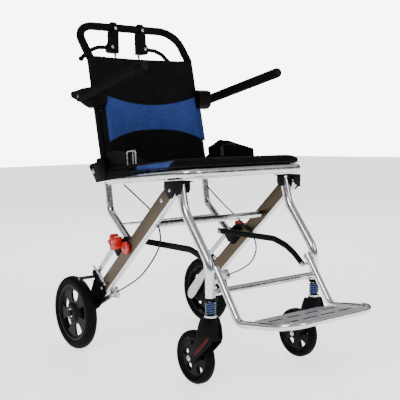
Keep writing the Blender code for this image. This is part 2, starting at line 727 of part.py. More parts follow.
# ---------------------------------------------------------------- fold linkage
def slider(side, sign):
    """Carriage on the rear leg: a block on its top face, an inner cheek and the rod's eye."""
    top = REAR_LEG_D / 2 + GAP
    outline = [on_leg(a, b) for a, b in ((0.232, top), (0.302, top), (0.302, 0.0440),
                                         (0.2955, 0.0615), (0.2850, 0.0615), (0.2790, 0.0465),
                                         (0.262, 0.0465), (0.250, 0.040), (0.238, 0.040))]
    body = plate(side_name("slider", side), outline, sign * 0.1770, sign * 0.1985,
                 "black_plastic", 0.0012)
    cheek = plate("tool", [on_leg(a, b) for a, b in ((0.236, 0.0), (0.244, -0.012),
                                                     (0.290, -0.012), (0.298, 0.0),
                                                     (0.300, 0.034), (0.236, 0.034))],
                  sign * 0.1764, sign * (REAR_LEG_X - REAR_LEG_W / 2 - GAP), "steel")
    join(body, cheek)
    start, end = on_leg(0.25, ROD_PERP), on_leg(0.32, ROD_PERP)
    cut(body, rod(at(sign * REAR_LEG_X, start), at(sign * REAR_LEG_X, end), ROD_R + 0.0004, 12))


def lock_knob(side, sign):
    centre = on_leg(0.2650, 0.0440)
    outline = []
    for k in range(30):
        angle = 2 * math.pi * k / 30
        radius = 0.0165 + 0.0028 * math.cos(5 * angle)
        outline.append((centre[0] + radius * math.cos(angle), centre[1] + radius * math.sin(angle)))
    plate(side_name("lock_knob", side), outline, sign * (0.1985 + GAP), sign * 0.2200, "red",
          0.0025, 1, at(sign * 0.205, centre))


def strut_frame():
    """Two bent struts and the thin rod that ties them."""
    top = (STRUT_TOP[0] + 0.0010, STRUT_TOP[1] + 0.0090)
    run = (Vector(LINK_REAR) - Vector(STRUT_BEND)).normalized()
    foot = Vector(LINK_REAR) + run * 0.009
    pivot = at(0, STRUT_TOP)
    legs = []
    for _, sign in SIDES:
        x = sign * STRUT_X
        path = fillet([at(x, top), at(x, STRUT_BEND), at(x, foot)], [0, 0.030, 0])
        legs.append(tube("strut_frame" if not legs else "tool", path, STRUT_R, "polished", 12))
        cut(legs[-1], pin(sign * 0.15, sign * 0.18, STRUT_TOP, PIN_HOLE))
    tie = Vector(STRUT_BEND).lerp(Vector(LINK_REAR), 0.44)
    frame = legs[0]
    join(frame, legs[1], pin(-STRUT_X, STRUT_X, tie, 0.0038, 10))
    frame.data.transform(Matrix.Translation(-pivot))
    frame.location = pivot


def link_bar(side, sign):
    rear = (LINK_REAR[0] + 0.008, LINK_REAR[1] + 0.002)
    outline = strip_outline((rear, (-0.405, 0.3055), (-0.450, 0.2920), (-0.480, 0.2740),
                             LINK_FRONT), 0.0068)
    x = sign * LINK_X
    bar = plate(side_name("link_bar", side), outline, x - LINK_T / 2, x + LINK_T / 2,
                "black_paint", pivot=at(x, LINK_FRONT))
    cut(bar, pin(sign * 0.12, sign * 0.15, LINK_FRONT, PIN_HOLE))


# ---------------------------------------------------------------- front legs and casters
def front_leg(side, sign):
    x = sign * FRONT_LEG_X
    top = (HIP[0] + 0.0024, HIP[1] + 0.0107)
    foot = (STEM_Y, FRONT_LEG_FOOT_Z)
    path = fillet([at(x, top), at(x, (-0.4275, 0.400)), at(x, (STEM_Y, 0.287)), at(x, foot)],
                  [0, 0.100, 0.060, 0])
    leg = tube(side_name("front_leg", side), path, FRONT_LEG_R, "polished", 12)
    cut(leg, pin(sign * 0.15, sign * 0.185, HIP, PIN_HOLE),
        rod(at(x, (STEM_Y, 0.19)), at(x, (STEM_Y, 0.264)), 0.0075, 14))
    join(leg, pin(sign * 0.1372, sign * FRONT_LEG_X, FOOTREST_PIVOT),
         pin(sign * 0.1335, sign * (FRONT_LEG_X - 0.0068), LINK_FRONT))


def front_cross_tube():
    reach = FRONT_LEG_X - 0.0075
    half_round = [at(-reach, (STEM_Y, 0.2790)), at(reach, (STEM_Y, 0.2790))]
    low = 0.2217
    path = [Vector((p.x, p.y, low)) for p in half_round]
    bar = tube("front_cross_tube", path, 0.0080, "polished", 16, (0, 0, 1))
    for _, sign in SIDES:
        x = sign * FRONT_LEG_X
        cut(bar, rod(at(x, (STEM_Y, 0.19)), at(x, (STEM_Y, 0.26)), FRONT_LEG_R + GAP, 32))


def caster_stem(side, sign):
    x = sign * FRONT_LEG_X
    stem = rod(at(x, (STEM_Y, 0.1665)), at(x, (STEM_Y, 0.2520)), 0.0062, 14, "steel",
               side_name("caster_stem", side))
    join(stem, rod(at(x, (STEM_Y, 0.1666)), at(x, (STEM_Y, 0.1696)), 0.0130, 20))


def caster_spring(side, sign):
    x, turns, steps = sign * FRONT_LEG_X, 6, 10
    low, high, coil, wire = 0.1720, 0.2026, 0.0106, 0.0016
    path = []
    for k in range(turns * steps + 1):
        angle = 2 * math.pi * k / steps
        height = low + (high - low) * k / (turns * steps)
        path.append(at(x + coil * math.cos(angle), (STEM_Y + coil * math.sin(angle), height)))
    bm = sweep(path, circle(wire, 5), (0, 0, 1))
    make_object(side_name("caster_spring", side), bm, "blue")


def caster_fork(side, sign):
    x = sign * CASTER_X
    arm = ((-0.500, 0.164), (-0.531, 0.164), (-0.540, 0.146), (-0.546, 0.122), (-0.541, 0.108),
           (-0.520, 0.092), (-0.492, 0.072), (-0.465, 0.0535), (-0.4545, 0.0535),
           (-0.4480, 0.0620), (-0.4510, 0.0715), (-0.4720, 0.0930), (-0.4860, 0.1200),
           (-0.4930, 0.1480))
    body = plate(side_name("caster_fork", side), arm, x - 0.0185, x - 0.0145, "grey_plastic",
                 pivot=at(x, (STEM_Y, 0.0)))
    crown = rod(at(x, (STEM_Y, 0.1340)), at(x, (STEM_Y, 0.1660)), 0.0160, 20)
    web = block("tool", x - 0.0165, x + 0.0165, -0.5420 + AXLE_Y, -0.5010 + AXLE_Y,
                0.1120, 0.1560, "steel", 0.003, 1)
    join(body, plate("tool", arm, x + 0.0145, x + 0.0185, "steel"), web, crown,
         pin(x - 0.0205, x + 0.0205, CASTER_AXLE, 0.0042))


def wheel_profile(half, radius, bore, crown):
    """Outline of half the wheel's section, from the bore out over the tread and back."""
    web = half * 0.45
    return ((-half * 0.85, bore), (-web, radius * 0.28), (-web, radius * 0.72),
            (-half, radius * 0.78), (-half, radius - crown), (-half * 0.5, radius),
            (half * 0.5, radius), (half, radius - crown), (half, radius * 0.78),
            (web, radius * 0.72), (web, radius * 0.28), (half * 0.85, bore))


def caster_wheel(side, sign):
    x = sign * CASTER_X
    profile = wheel_profile(CASTER_W / 2, CASTER_R, 0.0045, 0.006)
    wheel = turned_x(side_name("caster_wheel", side), profile, x, CASTER_AXLE, "rubber", 24,
                     pivot=at(x, CASTER_AXLE))
    holes = []
    for k in range(5):
        angle = math.radians(90 + 72 * k)
        spot = (CASTER_AXLE[0] + 0.0310 * math.cos(angle), CASTER_AXLE[1] + 0.0310 * math.sin(angle))
        holes.append(pin(x - 0.02, x + 0.02, spot, 0.0080, 10))
    cut(wheel, *holes)


# ---------------------------------------------------------------- rear wheels
def rear_wheel(side, sign):
    """Dished rim with five windows, and the solid tyre around it."""
    x, hub = sign * REAR_WHEEL_X, (0.0, REAR_WHEEL_R)
    seat_r = 0.0770
    profile = ((-0.0135, 0.0054), (-0.0135, 0.022), (-0.006, 0.027), (-0.006, 0.066),
               (-0.0115, 0.070), (-0.0115, seat_r), (0.0115, seat_r), (0.0115, 0.070),
               (0.006, 0.066), (0.006, 0.027), (0.0148, 0.022), (0.0148, 0.0054))
    rim = turned_x(side_name("rear_wheel", side), profile, x, hub, "rim", 30, pivot=at(x, hub))
    windows = []
    for k in range(5):
        middle = math.radians(28 + 72 * k)
        outline = []
        for radius, spread in ((0.0625, 24), (0.0345, -15)):
            for i in range(5):
                angle = middle + math.radians(spread * (i / 2 - 1))
                outline.append((hub[0] + radius * math.cos(angle),
                                hub[1] + radius * math.sin(angle)))
        windows.append(plate("tool", outline, x - 0.02, x + 0.02, "steel"))
    cut(rim, *windows)
    half, bore = REAR_TYRE_W / 2, seat_r + GAP
    tread = ((-0.0120, bore), (-half, 0.084), (-half, 0.091), (-half * 0.70, 0.0975),
             (-half * 0.25, REAR_WHEEL_R), (half * 0.25, REAR_WHEEL_R), (half * 0.70, 0.0975),
             (half, 0.091), (half, 0.084), (0.0120, bore))
    turned_x(side_name("rear_tyre", side), tread, x, hub, "rubber", 30, pivot=at(x, hub))


# ---------------------------------------------------------------- footrest
def footrest():
    x, front = 0.1475, (-0.736, 0.1783)
    half = [at(-x, FOOTREST_PIVOT), at(-x, (-0.5905, 0.1605)), at(-x, front)]
    run = (half[0] - half[1]).normalized()
    half[0] = half[0] + run * 0.0085
    mirrored = [Vector((-p.x, p.y, p.z)) for p in reversed(half)]
    path = fillet(half + mirrored, [0, 0.026, 0.058, 0.058, 0.026, 0])
    hoop = tube("footrest_tube", path, 0.0085, "polished", 12, (0, 0.2, 1), at(0, FOOTREST_PIVOT))
    for _, sign in SIDES:
        cut(hoop, pin(sign * 0.13, sign * 0.17, FOOTREST_PIVOT, PIN_HOLE))


def footplate():
    """Plate between the hoop's sides, with two rows of drainage slots."""
    rear, front = Vector((-0.596, 0.1612)), Vector((-0.7265, 0.1771))
    run = (front - rear).normalized()
    normal = Vector((run.y, -run.x))
    half = 0.1380
    bm = bmesh.new()
    length = (front - rear).length
    outline = rounded_box(half, length / 2, 0.050, 4)
    layers = []
    for thick in (-0.0016, 0.0016):
        layer = []
        for a, b in outline:
            p = rear + run * (length / 2 + b) + normal * thick
            layer.append(bm.verts.new(at(a, p)))
        layers.append(layer)
        bm.faces.new(layer)
    for k in range(len(outline)):
        j = (k + 1) % len(outline)
        bm.faces.new((layers[0][k], layers[0][j], layers[1][j], layers[1][k]))
    board = make_object("footplate", bm, "polished", at(0, FOOTREST_PIVOT))
    tools = []
    for row in (0.045, 0.095):
        for x in (-0.085, -0.028, 0.028, 0.085):
            y, z = rear + run * row
            tools.append(block("tool", x - 0.020, x + 0.020, y - 0.004 + AXLE_Y,
                               y + 0.004 + AXLE_Y, z - 0.02, z + 0.02, "steel"))
    cut(board, *tools)


# ---------------------------------------------------------------- assembly
def build():
    clear_scene()
    seat_frame()
    seat_soft()
    back_frame()
    handle_grip()
    back_fabric()
    belt_buckle()
    rear_cross_tube()
    strut_frame()
    front_cross_tube()
    footrest()
    footplate()
    belt("left", 1.0, 0.190, 0.060)
    belt("right", -1.0, 0.165, 0.036)
    for side, sign in SIDES:
        for piece in (pivot_housing, rear_bracket, arm_bracket, armrest, hand_brake,
                      upper_cable, rear_leg, hub_bracket, guide_rod, brake_arm, parking_lever,
                      slider, lock_knob, link_bar, front_leg, caster_stem, caster_spring,
                      caster_fork, caster_wheel, rear_wheel):
            piece(side, sign)
        lower_cable(side, sign, CABLE_ROUTES[side])


build()
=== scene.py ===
import math

import bmesh
import bpy
import numpy as np
from mathutils import Matrix, Vector, noise
from mathutils.bvhtree import BVHTree


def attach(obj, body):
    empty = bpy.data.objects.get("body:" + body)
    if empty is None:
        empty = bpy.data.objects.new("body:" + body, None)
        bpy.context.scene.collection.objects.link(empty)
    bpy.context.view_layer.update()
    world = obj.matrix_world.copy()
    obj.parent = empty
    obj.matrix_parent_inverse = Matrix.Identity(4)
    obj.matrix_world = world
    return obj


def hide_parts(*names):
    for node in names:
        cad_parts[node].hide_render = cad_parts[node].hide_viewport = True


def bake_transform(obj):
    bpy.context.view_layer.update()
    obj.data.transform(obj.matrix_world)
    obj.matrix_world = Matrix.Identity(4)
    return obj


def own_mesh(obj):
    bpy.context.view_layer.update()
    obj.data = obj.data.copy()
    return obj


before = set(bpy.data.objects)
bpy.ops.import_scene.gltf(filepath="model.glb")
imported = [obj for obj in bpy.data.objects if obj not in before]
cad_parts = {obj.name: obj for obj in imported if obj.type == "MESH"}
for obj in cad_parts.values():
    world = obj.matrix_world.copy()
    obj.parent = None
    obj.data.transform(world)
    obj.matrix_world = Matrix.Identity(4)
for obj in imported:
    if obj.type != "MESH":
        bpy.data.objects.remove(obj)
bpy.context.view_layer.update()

# ---------------------------------------------------------------- places
AXLE_Y = 0.3222
SIDES = (("right", -1.0), ("left", 1.0))
SEAT_TILT = math.radians(4.24)
SEAT_REAR = (-0.106, 0.4626)
LEG_SLOPE = math.radians(41.0)
HIP = (-0.416, 0.4505)
BACK_FOOT, BACK_BEND, HANDLE_TOP = (-0.0779, 0.490), (-0.0165, 0.790), (0.060, 0.888)
BACK_X = 0.1675
BACK_HINGE = (-0.100, 0.512)
FOOTREST_PIVOT = (-0.516, 0.2695)
LINK_REAR, LINK_FRONT = (-0.187, 0.305), (-0.508, 0.250)
STRUT_X, STRUT_BEND, STRUT_TOP = 0.1645, (-0.0935, 0.380), (-0.083, 0.468)
ARM_PIVOT = (-0.052, 0.684)
FRONT_X, STEM_Y = 0.1675, -0.516
CASTER_HUB = (-0.4575, 0.063)
LEG_X = 0.1895
LEG_HALF = 0.0179       # half the depth of the rear leg's section
LEG_RISE = 0.0050       # how far the leg's upper edge is drawn out beyond that section
TOP = 0.0120            # bottom of the seat pad above the rail's middle

CABLE_ROUTES = {
    "right": ((-0.2365, 0.4290), (-0.2886, 0.4030), (-0.3179, 0.3853), (-0.3345, 0.3573),
              (-0.3394, 0.3238), (-0.3168, 0.2855), (-0.2591, 0.2328), (-0.1979, 0.1975)),
    "left": ((-0.1190, 0.4010), (-0.1600, 0.3750), (-0.2000, 0.3520), (-0.2320, 0.3310),
             (-0.2736, 0.3019), (-0.2900, 0.2774), (-0.2882, 0.2496), (-0.2637, 0.2188),
             (-0.2209, 0.1946), (-0.1768, 0.1768))}
CABLE_STARTS = {"right": (-0.1834, 0.4539), "left": (-0.0641, 0.4395)}


def at(x, yz):
    return Vector((x, yz[0] + AXLE_Y, yz[1]))


def on_leg(along, perp):
    c, s = math.cos(LEG_SLOPE), math.sin(LEG_SLOPE)
    return HIP[0] + along * c + perp * s, HIP[1] - along * s + perp * c


def on_seat(forward, up):
    c, s = math.cos(SEAT_TILT), math.sin(SEAT_TILT)
    return SEAT_REAR[0] - forward * c + up * s, SEAT_REAR[1] + forward * s + up * c


def on_back(up, forward):
    d = (Vector(BACK_BEND) - Vector(BACK_FOOT)).normalized()
    return BACK_FOOT[0] + up * d.x - forward * d.y, BACK_FOOT[1] + up * d.y + forward * d.x


# ---------------------------------------------------------------- camera, light and floor
def make_camera():
    az, el, roll = math.radians(38.10), math.radians(4.71), math.radians(-1.064)
    ahead = Vector((math.sin(az) * math.cos(el), math.cos(az) * math.cos(el), -math.sin(el)))
    right = Vector((math.cos(az), -math.sin(az), 0))
    up = right.cross(ahead)
    right, up = (right * math.cos(roll) + up * math.sin(roll),
                 up * math.cos(roll) - right * math.sin(roll))
    cam = bpy.data.cameras.new("camera")
    cam.sensor_width = 36.0
    cam.lens = 764.85 / 400 * 36.0
    cam.clip_start, cam.clip_end = 0.05, 50
    obj = placed(bpy.data.objects.new("camera", cam))
    obj.matrix_world = Matrix((
        (right.x, up.x, -ahead.x, -1.2292), (right.y, up.y, -ahead.y, -1.8391 + AXLE_Y),
        (right.z, up.z, -ahead.z, 0.5718), (0, 0, 0, 1)))
    bpy.context.scene.camera = obj


def area_light(name, place, target, size, power):
    light = bpy.data.lights.new(name, "AREA")
    light.energy, light.size = power, size
    obj = placed(bpy.data.objects.new(name, light))
    obj.location = place
    obj.rotation_euler = (Vector(target) - Vector(place)).to_track_quat("-Z", "Y").to_euler()


def make_world():
    """Bright backdrop for the camera; dark walls and a light ceiling for reflections."""
    world = bpy.data.worlds.new("studio")
    world.use_nodes = True
    tree = world.node_tree
    back = tree.nodes["Background"]
    coord = tree.nodes.new("ShaderNodeTexCoord")
    split = tree.nodes.new("ShaderNodeSeparateXYZ")
    tree.links.new(coord.outputs["Generated"], split.inputs[0])
    lift = tree.nodes.new("ShaderNodeMapRange")
    lift.inputs["From Min"].default_value = -1.0
    tree.links.new(split.outputs["Z"], lift.inputs["Value"])
    ramp = tree.nodes.new("ShaderNodeValToRGB")
    tree.links.new(lift.outputs[0], ramp.inputs[0])
    stops = ramp.color_ramp.elements
    stops[0].position, stops[0].color = 0.0, (0.55, 0.55, 0.56, 1)
    stops[1].position, stops[1].color = 1.0, (0.80, 0.81, 0.84, 1)
    for place, grey in ((0.38, 0.46), (0.47, 0.10), (0.585, 0.08), (0.66, 0.34), (0.74, 0.9),
                        (0.86, 0.30)):
        stops.new(place).color = (grey, grey, grey * 1.02, 1)
    tree.links.new(ramp.outputs[0], back.inputs[0])
    back.inputs[1].default_value = 1.0
    seen = tree.nodes.new("ShaderNodeBackground")
    seen.inputs[0].default_value = (1.0, 1.0, 1.0, 1)
    seen.inputs[1].default_value = 7.5
    path = tree.nodes.new("ShaderNodeLightPath")
    mix = tree.nodes.new("ShaderNodeMixShader")
    tree.links.new(path.outputs["Is Camera Ray"], mix.inputs[0])
    tree.links.new(back.outputs[0], mix.inputs[1])
    tree.links.new(seen.outputs[0], mix.inputs[2])
    tree.links.new(mix.outputs[0], tree.nodes["World Output"].inputs["Surface"])
    bpy.context.scene.world = world


def make_stage():
    make_world()
    area_light("key", (-2.4, -2.0, 2.6), (0, 0, 0.45), 1.3, 62)
    area_light("fill", (1.2, -3.2, 1.9), (0, 0, 0.45), 1.2, 24)
    area_light("rim", (1.6, 2.4, 2.6), (0, 0, 0.5), 1.2, 45)

    bm = bmesh.new()
    bmesh.ops.create_grid(bm, x_segments=8, y_segments=8, size=14)
    mesh = bpy.data.meshes.new("floor")
    bm.to_mesh(mesh)
    bm.free()
    floor = placed(bpy.data.objects.new("floor", mesh))
    floor.location.z = -0.0006
    mat = bpy.data.materials.new("floor")
    mat.use_nodes = True
    shader = mat.node_tree.nodes["Principled BSDF"]
    shader.inputs["Base Color"].default_value = (0.96, 0.96, 0.96, 1)
    shader.inputs["Roughness"].default_value = 0.9
    shader.inputs["Specular IOR Level"].default_value = 0.1
    shader.inputs["Emission Color"].default_value = (1, 1, 1, 1)
    shader.inputs["Emission Strength"].default_value = 1.5
    mesh.materials.append(mat)


# ---------------------------------------------------------------- materials
class Mat:
    """Small helper round a node tree with one Principled shader."""

    def __init__(self, name, colour, roughness, metallic=0.0, specular=0.5, sheen=0.0,
                 coat=0.0):
        self.mat = bpy.data.materials.new(name)
        self.mat.use_nodes = True
        self.nodes, self.links = self.mat.node_tree.nodes, self.mat.node_tree.links
        self.shader = self.nodes["Principled BSDF"]
        self.shader.inputs["Base Color"].default_value = (*colour, 1)
        self.shader.inputs["Roughness"].default_value = roughness
        self.shader.inputs["Metallic"].default_value = metallic
        self.shader.inputs["Specular IOR Level"].default_value = specular
        if specular < 0.25:
            self.shader.inputs["IOR"].default_value = 1.20
        if sheen:
            self.shader.inputs["Sheen Weight"].default_value = sheen
            self.shader.inputs["Sheen Roughness"].default_value = 0.4
        if coat:
            self.shader.inputs["Coat Weight"].default_value = coat
            self.shader.inputs["Coat Roughness"].default_value = 0.08
        self.coord = self.node("ShaderNodeTexCoord")
        self.height = None

    def node(self, kind, **props):
        made = self.nodes.new(kind)
        for key, value in props.items():
            setattr(made, key, value)
        return made

    def scaled(self, scale):
        mapping = self.node("ShaderNodeMapping")
        mapping.inputs["Scale"].default_value = scale
        self.links.new(self.coord.outputs["Object"], mapping.inputs["Vector"])
        return mapping.outputs[0]

    def noise(self, scale, vector=None, detail=3.0):
        made = self.node("ShaderNodeTexNoise")
        made.inputs["Scale"].default_value = scale
        made.inputs["Detail"].default_value = detail
        self.links.new(vector or self.coord.outputs["Object"], made.inputs["Vector"])
        return made.outputs["Fac"]

    def remap(self, value, low, high, start=0.3, end=0.7):
        made = self.node("ShaderNodeMapRange")
        made.inputs["From Min"].default_value = start
        made.inputs["From Max"].default_value = end
        made.inputs["To Min"].default_value = low
        made.inputs["To Max"].default_value = high
        self.links.new(value, made.inputs["Value"])
        return made.outputs[0]

    def colours(self, value, *stops):
        made = self.node("ShaderNodeValToRGB")
        ramp = made.color_ramp.elements
        while len(ramp) < len(stops):
            ramp.new(0.5)
        for element, (place, colour) in zip(ramp, stops):
            element.position, element.color = place, (*colour, 1)
        self.links.new(value, made.inputs[0])
        self.links.new(made.outputs[0], self.shader.inputs["Base Color"])
        return made.outputs[0]

    def rough(self, value):
        self.links.new(value, self.shader.inputs["Roughness"])

    def math(self, operation, a, b=None):
        made = self.node("ShaderNodeMath", operation=operation)
        for slot, value in enumerate((a, b)):
            if value is None:
                continue
            if isinstance(value, (int, float)):
                made.inputs[slot].default_value = value
            else:
                self.links.new(value, made.inputs[slot])
        return made.outputs[0]

    def bump(self, height, distance, strength):
        made = self.node("ShaderNodeBump")
        made.inputs["Strength"].default_value = strength
        made.inputs["Distance"].default_value = distance
        self.links.new(height, made.inputs["Height"])
        if self.height is not None:
            self.links.new(self.height, made.inputs["Normal"])
        self.height = made.outputs[0]
        self.links.new(self.height, self.shader.inputs["Normal"])

    def wave(self, vector, scale, direction, distortion):
        made = self.node("ShaderNodeTexWave", wave_type="BANDS", bands_direction=direction)
        made.inputs["Scale"].default_value = scale
        made.inputs["Distortion"].default_value = distortion
        self.links.new(vector, made.inputs["Vector"])
        return made.outputs["Fac"]


def metal(name, colour, dark, rough_low, rough_high, scale, bump=0.00002, grain=(1, 1, 1)):
    m = Mat(name, colour, rough_low, 1.0)
    streak = m.noise(scale, m.scaled(grain), 4)
    patch = m.noise(9, detail=2)
    m.colours(m.math("ADD", m.math("MULTIPLY", streak, 0.5), m.math("MULTIPLY", patch, 0.5)),
              (0.30, dark), (0.62, colour))
    m.rough(m.remap(streak, rough_low, rough_high))
    m.bump(streak, bump, 0.5)
    return m.mat


def plastic(name, colour, light, rough, scale=900, bump=0.00004, spec=0.45, coat=0.0):
    m = Mat(name, colour, rough, 0.0, spec, coat=coat)
    grain, cloud = m.noise(scale, detail=2), m.noise(14, detail=3)
    m.colours(cloud, (0.30, colour), (0.72, light))
    m.rough(m.remap(m.math("ADD", m.math("MULTIPLY", grain, 0.6),
                           m.math("MULTIPLY", cloud, 0.4)), rough * 0.85, rough * 1.18))
    m.bump(grain, bump, 0.6)
    return m.mat


def woven(name, dark, light, scale=1500, sheen=0.02, rough=0.9, blotch=22, spec=0.05):
    """Plain weave: threads over and under in two directions, worn lighter in patches."""
    m = Mat(name, dark, rough, 0.0, spec, sheen=sheen)
    vec = m.coord.outputs["Object"]
    warp = m.wave(vec, scale / 6.283, "X", 0.4)
    weft = m.wave(m.scaled((1, 0.72, 0.72)), scale / 6.283, "DIAGONAL", 0.4)
    thread = m.math("MULTIPLY", m.math("ADD", warp, weft), 0.5)
    patch = m.noise(blotch, detail=5)
    blend = m.math("ADD", m.math("MULTIPLY", thread, 0.45), m.math("MULTIPLY", patch, 0.55))
    m.colours(blend, (0.28, dark), (0.72, light))
    m.rough(m.remap(patch, rough - 0.08, min(1.0, rough + 0.06)))
    m.bump(thread, 0.00018, 0.5)
    m.bump(patch, 0.0010, 0.25)
    return m.mat


def mesh_fabric(name, dark, light, glow):
    """Open spacer mesh: small round eyes in rows over a darker ground."""
    m = Mat(name, light, 0.75, 0.0, 0.12, sheen=0.06)
    eyes = m.node("ShaderNodeTexVoronoi", feature="F1")
    eyes.inputs["Scale"].default_value = 420
    eyes.inputs["Randomness"].default_value = 0.85
    m.links.new(m.coord.outputs["Object"], eyes.inputs["Vector"])
    hole = m.remap(eyes.outputs["Distance"], 0.0, 1.0, 0.12, 0.48)
    patch = m.noise(16, detail=5)
    blend = m.math("ADD", m.math("MULTIPLY", hole, 0.55), m.math("MULTIPLY", patch, 0.45))
    m.colours(blend, (0.18, dark), (0.50, light), (0.82, glow))
    m.rough(m.remap(hole, 0.62, 0.88))
    m.bump(hole, 0.00030, 0.6)
    return m.mat


def rubber(name, colour, light, rough, scale=700, bump=0.00008):
    m = Mat(name, colour, rough, 0.0, 0.10)
    grain, dust = m.noise(scale, detail=3), m.noise(26, detail=6)
    m.colours(dust, (0.35, colour), (0.80, light))
    m.rough(m.remap(grain, rough - 0.07, rough + 0.08))
    m.bump(grain, bump, 0.5)
    return m.mat


def foam(name, colour, light):
    m = Mat(name, colour, 0.80, 0.0, 0.06)
    pores = m.node("ShaderNodeTexVoronoi", feature="F1")
    pores.inputs["Scale"].default_value = 650
    m.links.new(m.coord.outputs["Object"], pores.inputs["Vector"])
    cloud = m.noise(30, detail=5)
    m.colours(cloud, (0.30, colour), (0.75, light))
    m.rough(m.remap(cloud, 0.66, 0.86))
    m.bump(pores.outputs["Distance"], 0.00020, 0.5)
    return m.mat


def lever_metal():
    """Bright plate beside the wheel, black on the bar that reaches over the tyre."""
    m = Mat("parking_lever", (0.7, 0.7, 0.72), 0.3)
    split = m.node("ShaderNodeSeparateXYZ")
    m.links.new(m.coord.outputs["Object"], split.inputs[0])
    away = m.math("ABSOLUTE", split.outputs[0])
    black = m.math("GREATER_THAN", away, 0.1920)
    streak = m.noise(180, detail=4)
    m.colours(m.math("ADD", m.math("MULTIPLY", streak, 0.4), m.math("MULTIPLY", black, 0.6)),
              (0.12, (0.36, 0.37, 0.38)), (0.34, (0.54, 0.55, 0.56)), (0.58, (0.008, 0.008, 0.009)),
              (0.95, (0.014, 0.014, 0.015)))
    m.links.new(m.math("SUBTRACT", 1.0, black), m.shader.inputs["Metallic"])
    m.rough(m.remap(streak, 0.26, 0.40))
    m.bump(streak, 0.00004, 0.5)
    return m.mat


def make_materials():
    return {
        "chrome": metal("bright_metal", (0.66, 0.67, 0.68), (0.50, 0.505, 0.515), 0.13, 0.25, 70),
        "satin": metal("satin_metal", (0.58, 0.59, 0.60), (0.44, 0.45, 0.46), 0.26, 0.40,
                       160, 0.00004),
        "bronze": metal("bronze_anodised", (0.095, 0.071, 0.046), (0.060, 0.045, 0.031), 0.30,
                        0.42, 30, 0.00003, (40, 1, 1)),
        "steel": metal("zinc_steel", (0.52, 0.53, 0.55), (0.34, 0.35, 0.36), 0.22, 0.38,
                       220, 0.00004),
        "lever": lever_metal(),
        "black_plastic": plastic("black_plastic", (0.0020, 0.0020, 0.0022),
                                 (0.0045, 0.0045, 0.005), 0.42, spec=0.14),
        "grey_plastic": plastic("grey_plastic", (0.0045, 0.0045, 0.005), (0.009, 0.009, 0.010),
                                0.40, spec=0.20),
        "light_grey": plastic("light_grey", (0.10, 0.10, 0.11), (0.16, 0.16, 0.17), 0.45,
                              spec=0.3),
        "rim": plastic("rim_plastic", (0.0035, 0.0035, 0.004), (0.009, 0.009, 0.010), 0.24, 500,
                       0.00002, 0.18),
        "red": plastic("red_plastic", (0.40, 0.008, 0.006), (0.54, 0.016, 0.011), 0.30, 300,
                       0.00002, 0.3, 0.15),
        "reflector": plastic("reflector", (0.040, 0.0020, 0.0025), (0.080, 0.005, 0.005), 0.30, 260,
                             0.00012, 0.2),
        "blue_spring": plastic("spring_paint", (0.004, 0.016, 0.070), (0.010, 0.036, 0.130), 0.28,
                               300, 0.00002, 0.4, 0.3),
        "black_paint": plastic("black_paint", (0.0020, 0.0020, 0.0022), (0.0045, 0.0045, 0.005),
                               0.34, 1200, 0.00002, 0.16),
        "tyre": rubber("tyre_rubber", (0.0025, 0.0025, 0.0028), (0.0065, 0.0065, 0.007), 0.55),
        "cable": rubber("cable_sheath", (0.006, 0.006, 0.0065), (0.015, 0.015, 0.016), 0.42,
                        1200, 0.00003),
        "foam": foam("handle_foam", (0.0034, 0.0034, 0.0037), (0.0075, 0.0075, 0.0082)),
        "fabric": woven("black_fabric", (0.0038, 0.0035, 0.0038), (0.0085, 0.0078, 0.0086)),
        "pad": woven("seat_fabric", (0.0028, 0.0025, 0.0028), (0.0068, 0.0062, 0.0067), 1200),
        "sling": woven("sling_fabric", (0.004, 0.004, 0.0045), (0.011, 0.011, 0.012), 900),
        "webbing": woven("webbing", (0.0028, 0.0028, 0.0031), (0.0085, 0.0085, 0.0092), 2400, 0.05,
                         0.75, 40, 0.15),
        "blue": mesh_fabric("blue_mesh", (0.007, 0.014, 0.062), (0.015, 0.031, 0.132),
                            (0.032, 0.058, 0.210)),
        "binding": woven("binding", (0.0040, 0.0040, 0.0050), (0.010, 0.010, 0.0125), 2600, 0.10,
                         0.7, 50, 0.15),
        # painted shade for the dark blocks in the footplate's slots
        "shadow": plastic("slot_shadow", (0.010, 0.010, 0.011), (0.022, 0.022, 0.023), 0.7,
                          spec=0.1),
    }


# ---------------------------------------------------------------- mesh helpers
M = {}                  # materials by key, filled in build()


def placed(obj):
    bpy.context.scene.collection.objects.link(obj)
    return obj


def piece(name, bm, mats, body=None, replaces=(), slot=None, smooth_angle=40):
    """Object from bm. With a body it rides on it and replaces nodes; its slot is not used."""
    bmesh.ops.recalc_face_normals(bm, faces=bm.faces)
    mesh = bpy.data.meshes.new(name)
    bm.to_mesh(mesh)
    bm.free()
    for mat in [mats] if isinstance(mats, str) else mats:
        mesh.materials.append(M[mat])
    mesh.shade_smooth()
    mesh.set_sharp_from_angle(angle=math.radians(smooth_angle))
    obj = placed(bpy.data.objects.new(name, mesh))
    if body:
        settle(obj, body, replaces, slot)
    return obj


def made(name, mats, body, *parts, replaces=(), slot=None, smooth_angle=40):
    """Piece from mesh functions, each given as (function, its arguments after bm)."""
    bm = bmesh.new()
    for into, *args in parts:
        into(bm, *args)
    return piece(name, bm, mats, body, replaces, slot, smooth_angle)


def settle(obj, body, replaces=(), slot=None):
    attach(obj, body)
    if replaces:
        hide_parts(*([replaces] if isinstance(replaces, str) else replaces))


def paint(node, key):
    """New material on a CAD node that stays visible."""
    for material_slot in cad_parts[node].material_slots:
        material_slot.material = M[key]


def apply_modifiers(obj):
    bpy.context.view_layer.update()
    graph = bpy.context.evaluated_depsgraph_get()
    mesh = bpy.data.meshes.new_from_object(obj.evaluated_get(graph))
    obj.modifiers.clear()
    obj.data = mesh
    return obj


def circle(radius, sides):
    step = 2 * math.pi / sides
    return [(radius * math.cos(step * i), radius * math.sin(step * i)) for i in range(sides)]


